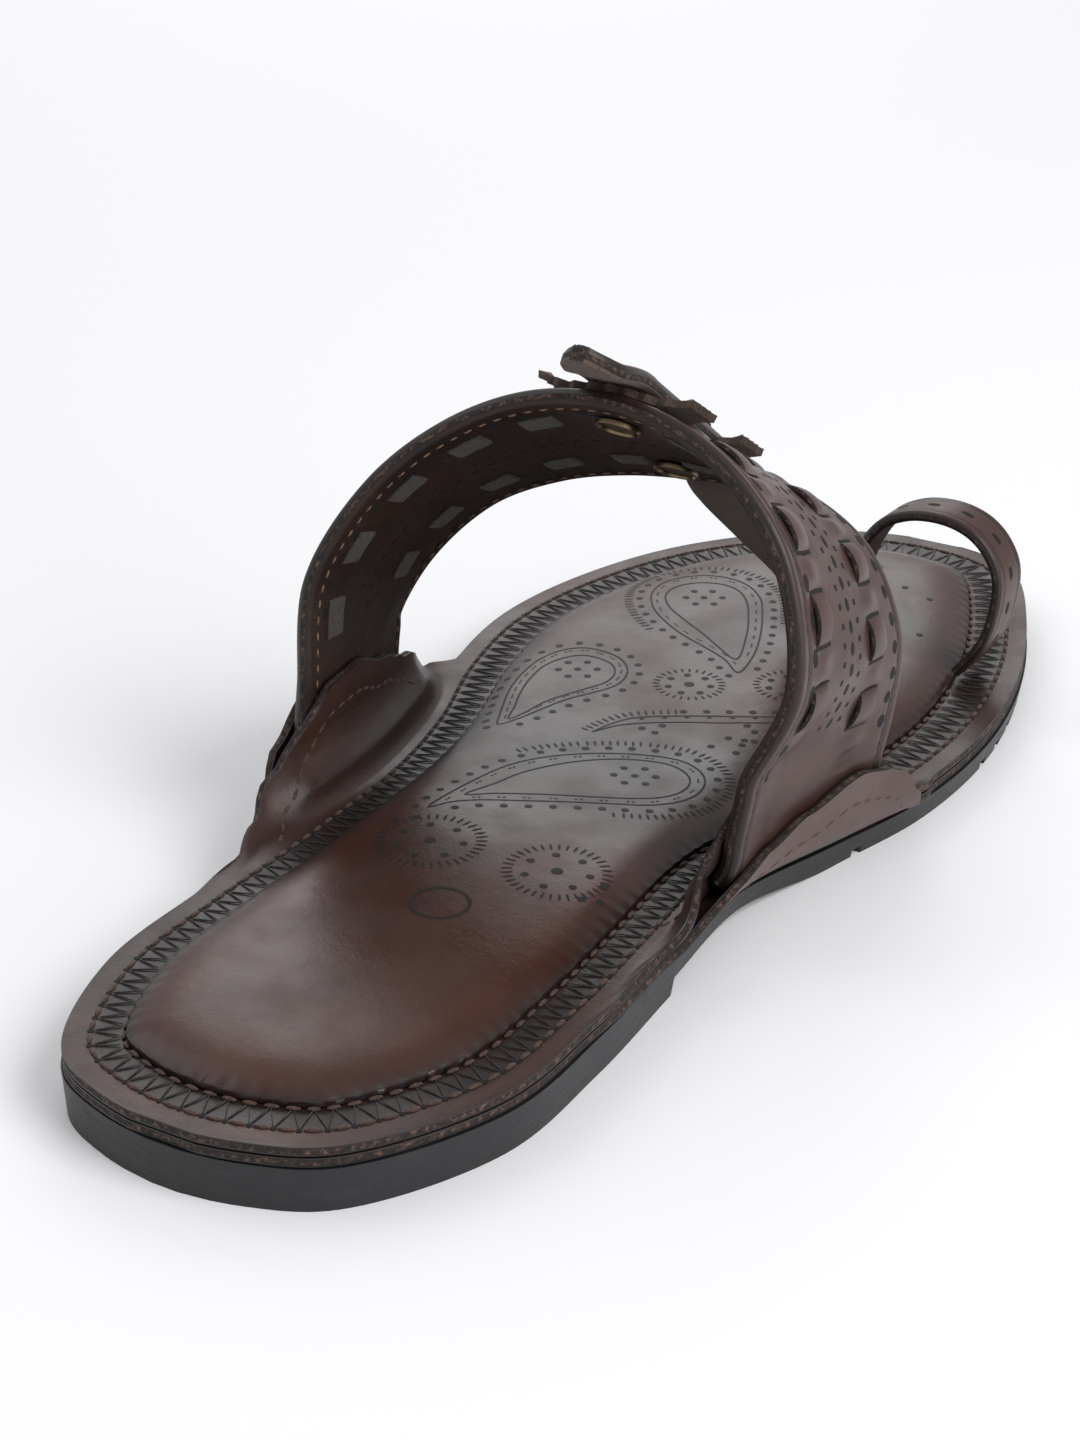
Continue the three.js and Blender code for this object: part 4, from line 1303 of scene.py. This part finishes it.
def makeToeLoop():
    rears, turn = np.array(loop["rear"]), np.array(loop["turn"])
    hoop = Surface([np.array([rear, rear + turn / 2, rear + turn]) for rear in rears])
    at, depth, width = loop["groove"]

    def top(across, t):
        d = fromEdge(across) * loop["width"]
        return hoop.at(t * hoop.total, across, roundOff(d, loop["edge"]) - depth * hump(d, at, width))

    def bottom(across, t):
        rise = roundOff(fromEdge(across) * loop["width"], loop["backEdge"])
        return hoop.at(t * hoop.total, across, -loop["thickness"] - rise)

    def shade(across, t, points):
        d = fromEdge(across) * loop["width"]
        return np.clip(np.exp(-d / loop["edge"]) + 0.5 * hump(d, at, 0.4), 0, 1)

    bm = bmesh.new()
    addSlab(bm, top, bottom, 22, 150, {"shade": shade})
    finishPiece("toe_loop", bm, [strapLeather, lining, cutEdge], ["upper"], 50)
    punchRow("loop_holes", hoop, loop["width"], 0.04, **loop["holes"])


makeToeLoop()
print("toe loop made")

# Pinked pieces and rivets
fringe = {
    "length": 26, "width": 14, "thickness": 1.4, "lift": 2.6, "held": 0.5, "narrow": 0.25, "tooth": 1.3,
    "columns": 8, "rows": 16, "places": (0.2, 0.785),
}
rivet = {"radius": 4.3, "thickness": 0.8, "capRise": 1.1, "shank": 1.5}


def makeFringe(name, place, node):
    def teeth(edge, step):  # in and out by turns along the two edges at -1 and 1
        tooth = np.where(np.round(step) % 2 == 0, 0.5, -0.5) * fringe["tooth"]
        return np.where(np.abs(edge) > 0.99, np.sign(edge) * tooth, 0)

    def face(rise):
        def placeAt(across, t):
            u, v = 2 * t - 1, 2 * across - 1
            width = fringe["width"] / 2 * (1 - fringe["narrow"] * u * u) * v + teeth(v, t * fringe["rows"])
            length = fringe["length"] / 2 * u + teeth(u, across * fringe["columns"])
            raised = np.clip((np.abs(u) - fringe["held"]) / (1 - fringe["held"]), 0, 1)
            lift = 1.2 * gap + fringe["lift"] * raised**2 + rise
            return strap.at(strapBody["centre"] + length, place + width / strapBody["width"], lift)
        return placeAt

    bm = bmesh.new()
    addSlab(bm, face(fringe["thickness"]), face(0), fringe["columns"], fringe["rows"])
    finishPiece(name, bm, [strapLeather, pinkedSuede, pinkedSuede], [node])


def makeRivet(name, place, node):
    inside = -strapBody["thickness"] - 1.5 * gap
    outside = centre["lift"] + centre["thickness"] + 2 * gap
    r, t, cap, shank = (rivet[k] for k in ("radius", "thickness", "capRise", "shank"))
    profile = [
        (0, inside - 0.45 * t), (0.82 * r, inside - 0.45 * t), (0.88 * r, inside - t), (0.96 * r, inside - t),
        (r, inside - 0.6 * t), (r, inside), (shank, inside), (shank, outside), (r, outside),
        (0.95 * r, outside + 0.4 * cap), (0.75 * r, outside + 0.75 * cap), (0.4 * r, outside + 0.95 * cap),
        (0, outside + cap),
    ]
    bm = bmesh.new()
    verts = [bm.verts.new((x * mm, 0, z * mm)) for x, z in profile]
    edges = [bm.edges.new(pair) for pair in zip(verts, verts[1:])]
    whole = {"cent": (0, 0, 0), "axis": (0, 0, 1), "angle": 2 * math.pi, "steps": 40, "use_merge": True}
    bmesh.ops.spin(bm, geom=verts + edges, **whole)
    bmesh.ops.remove_doubles(bm, verts=bm.verts, dist=1e-6)
    up = Vector(strap.normal(np.array([strapBody["centre"]]), np.array([place]))[0])
    spot = Matrix.Translation(Vector(strap.at(strapBody["centre"], place)[0] * mm))
    bmesh.ops.transform(bm, matrix=spot @ up.to_track_quat("Z", "Y").to_matrix().to_4x4(), verts=bm.verts)
    finishPiece(name, bm, [agedBrass], [node], 35)


for end, place in zip(("rear", "front"), fringe["places"]):
    makeFringe(f"pinked_piece_{end}", place, f"pinked_fringe_{end}")
    makeRivet(f"brass_rivet_{end}", place, f"rivet_{end}")
print("trim and rivets made")

# Room, light and camera
room = {
    "floor": 6, "world": 0.5, "lightsAim": (0, 0, 0.03),
    "lights": [  # name, place in metres, power, size
        ("key", (0.9, -0.1, 0.9), 8.5, 0.7), ("back", (-0.6, 1.0, 0.75), 3.4, 0.8),
        ("side", (1.1, -0.5, 0.35), 2.6, 0.6), ("fill", (-1.0, -0.2, 1.1), 2.8, 1.0),
    ],
    "aim": (-11.7, -5.9, 20), "azimuth": 29.1, "elevation": 25.94, "distance": 522.9, "roll": 0.91,
    "lens": 67.8,
}


def makeRoom():
    bm = bmesh.new()
    bmesh.ops.create_grid(bm, x_segments=1, y_segments=1, size=room["floor"])
    floor = addMesh("floor", bm)
    paper = Finish("paper", 0.85, specular=0.2)
    floor.data.materials.append(paper.set(Base_Color=tone(251, 251, 253)))
    world = bpy.data.worlds.new("studio")
    world.use_nodes = True
    sky = world.node_tree.nodes["Background"].inputs
    sky["Color"].default_value = (1.0, 1.0, 1.02, 1)
    sky["Strength"].default_value = room["world"]
    bpy.context.scene.world = world
    for name, spot, power, size in room["lights"]:
        data = bpy.data.lights.new(name, "AREA")
        data.energy = power
        data.size = size
        light = addObject(name, data)
        light.location = spot
        way = Vector(room["lightsAim"]) - Vector(spot)
        light.rotation_euler = way.to_track_quat("-Z", "Y").to_euler()


def makeCamera():
    turn, tilt, roll = (math.radians(room[k]) for k in ("azimuth", "elevation", "roll"))
    back = Vector((math.sin(turn) * math.cos(tilt), -math.cos(turn) * math.cos(tilt), math.sin(tilt)))
    right = (-back).cross(Vector((0, 0, 1))).normalized()
    up = right.cross(-back)
    level = Matrix((right, up, back)).transposed()
    data = bpy.data.cameras.new("camera")
    data.lens = room["lens"]
    data.sensor_width = 36
    data.clip_end = 20
    camera = addObject("camera", data)
    spot = (Vector(room["aim"]) + back * room["distance"]) * mm
    camera.matrix_world = Matrix.Translation(spot) @ (level @ Matrix.Rotation(roll, 3, "Z")).to_4x4()
    bpy.context.scene.camera = camera


makeRoom()
makeCamera()
bpy.context.scene.view_settings.view_transform = "Standard"
print("room made")
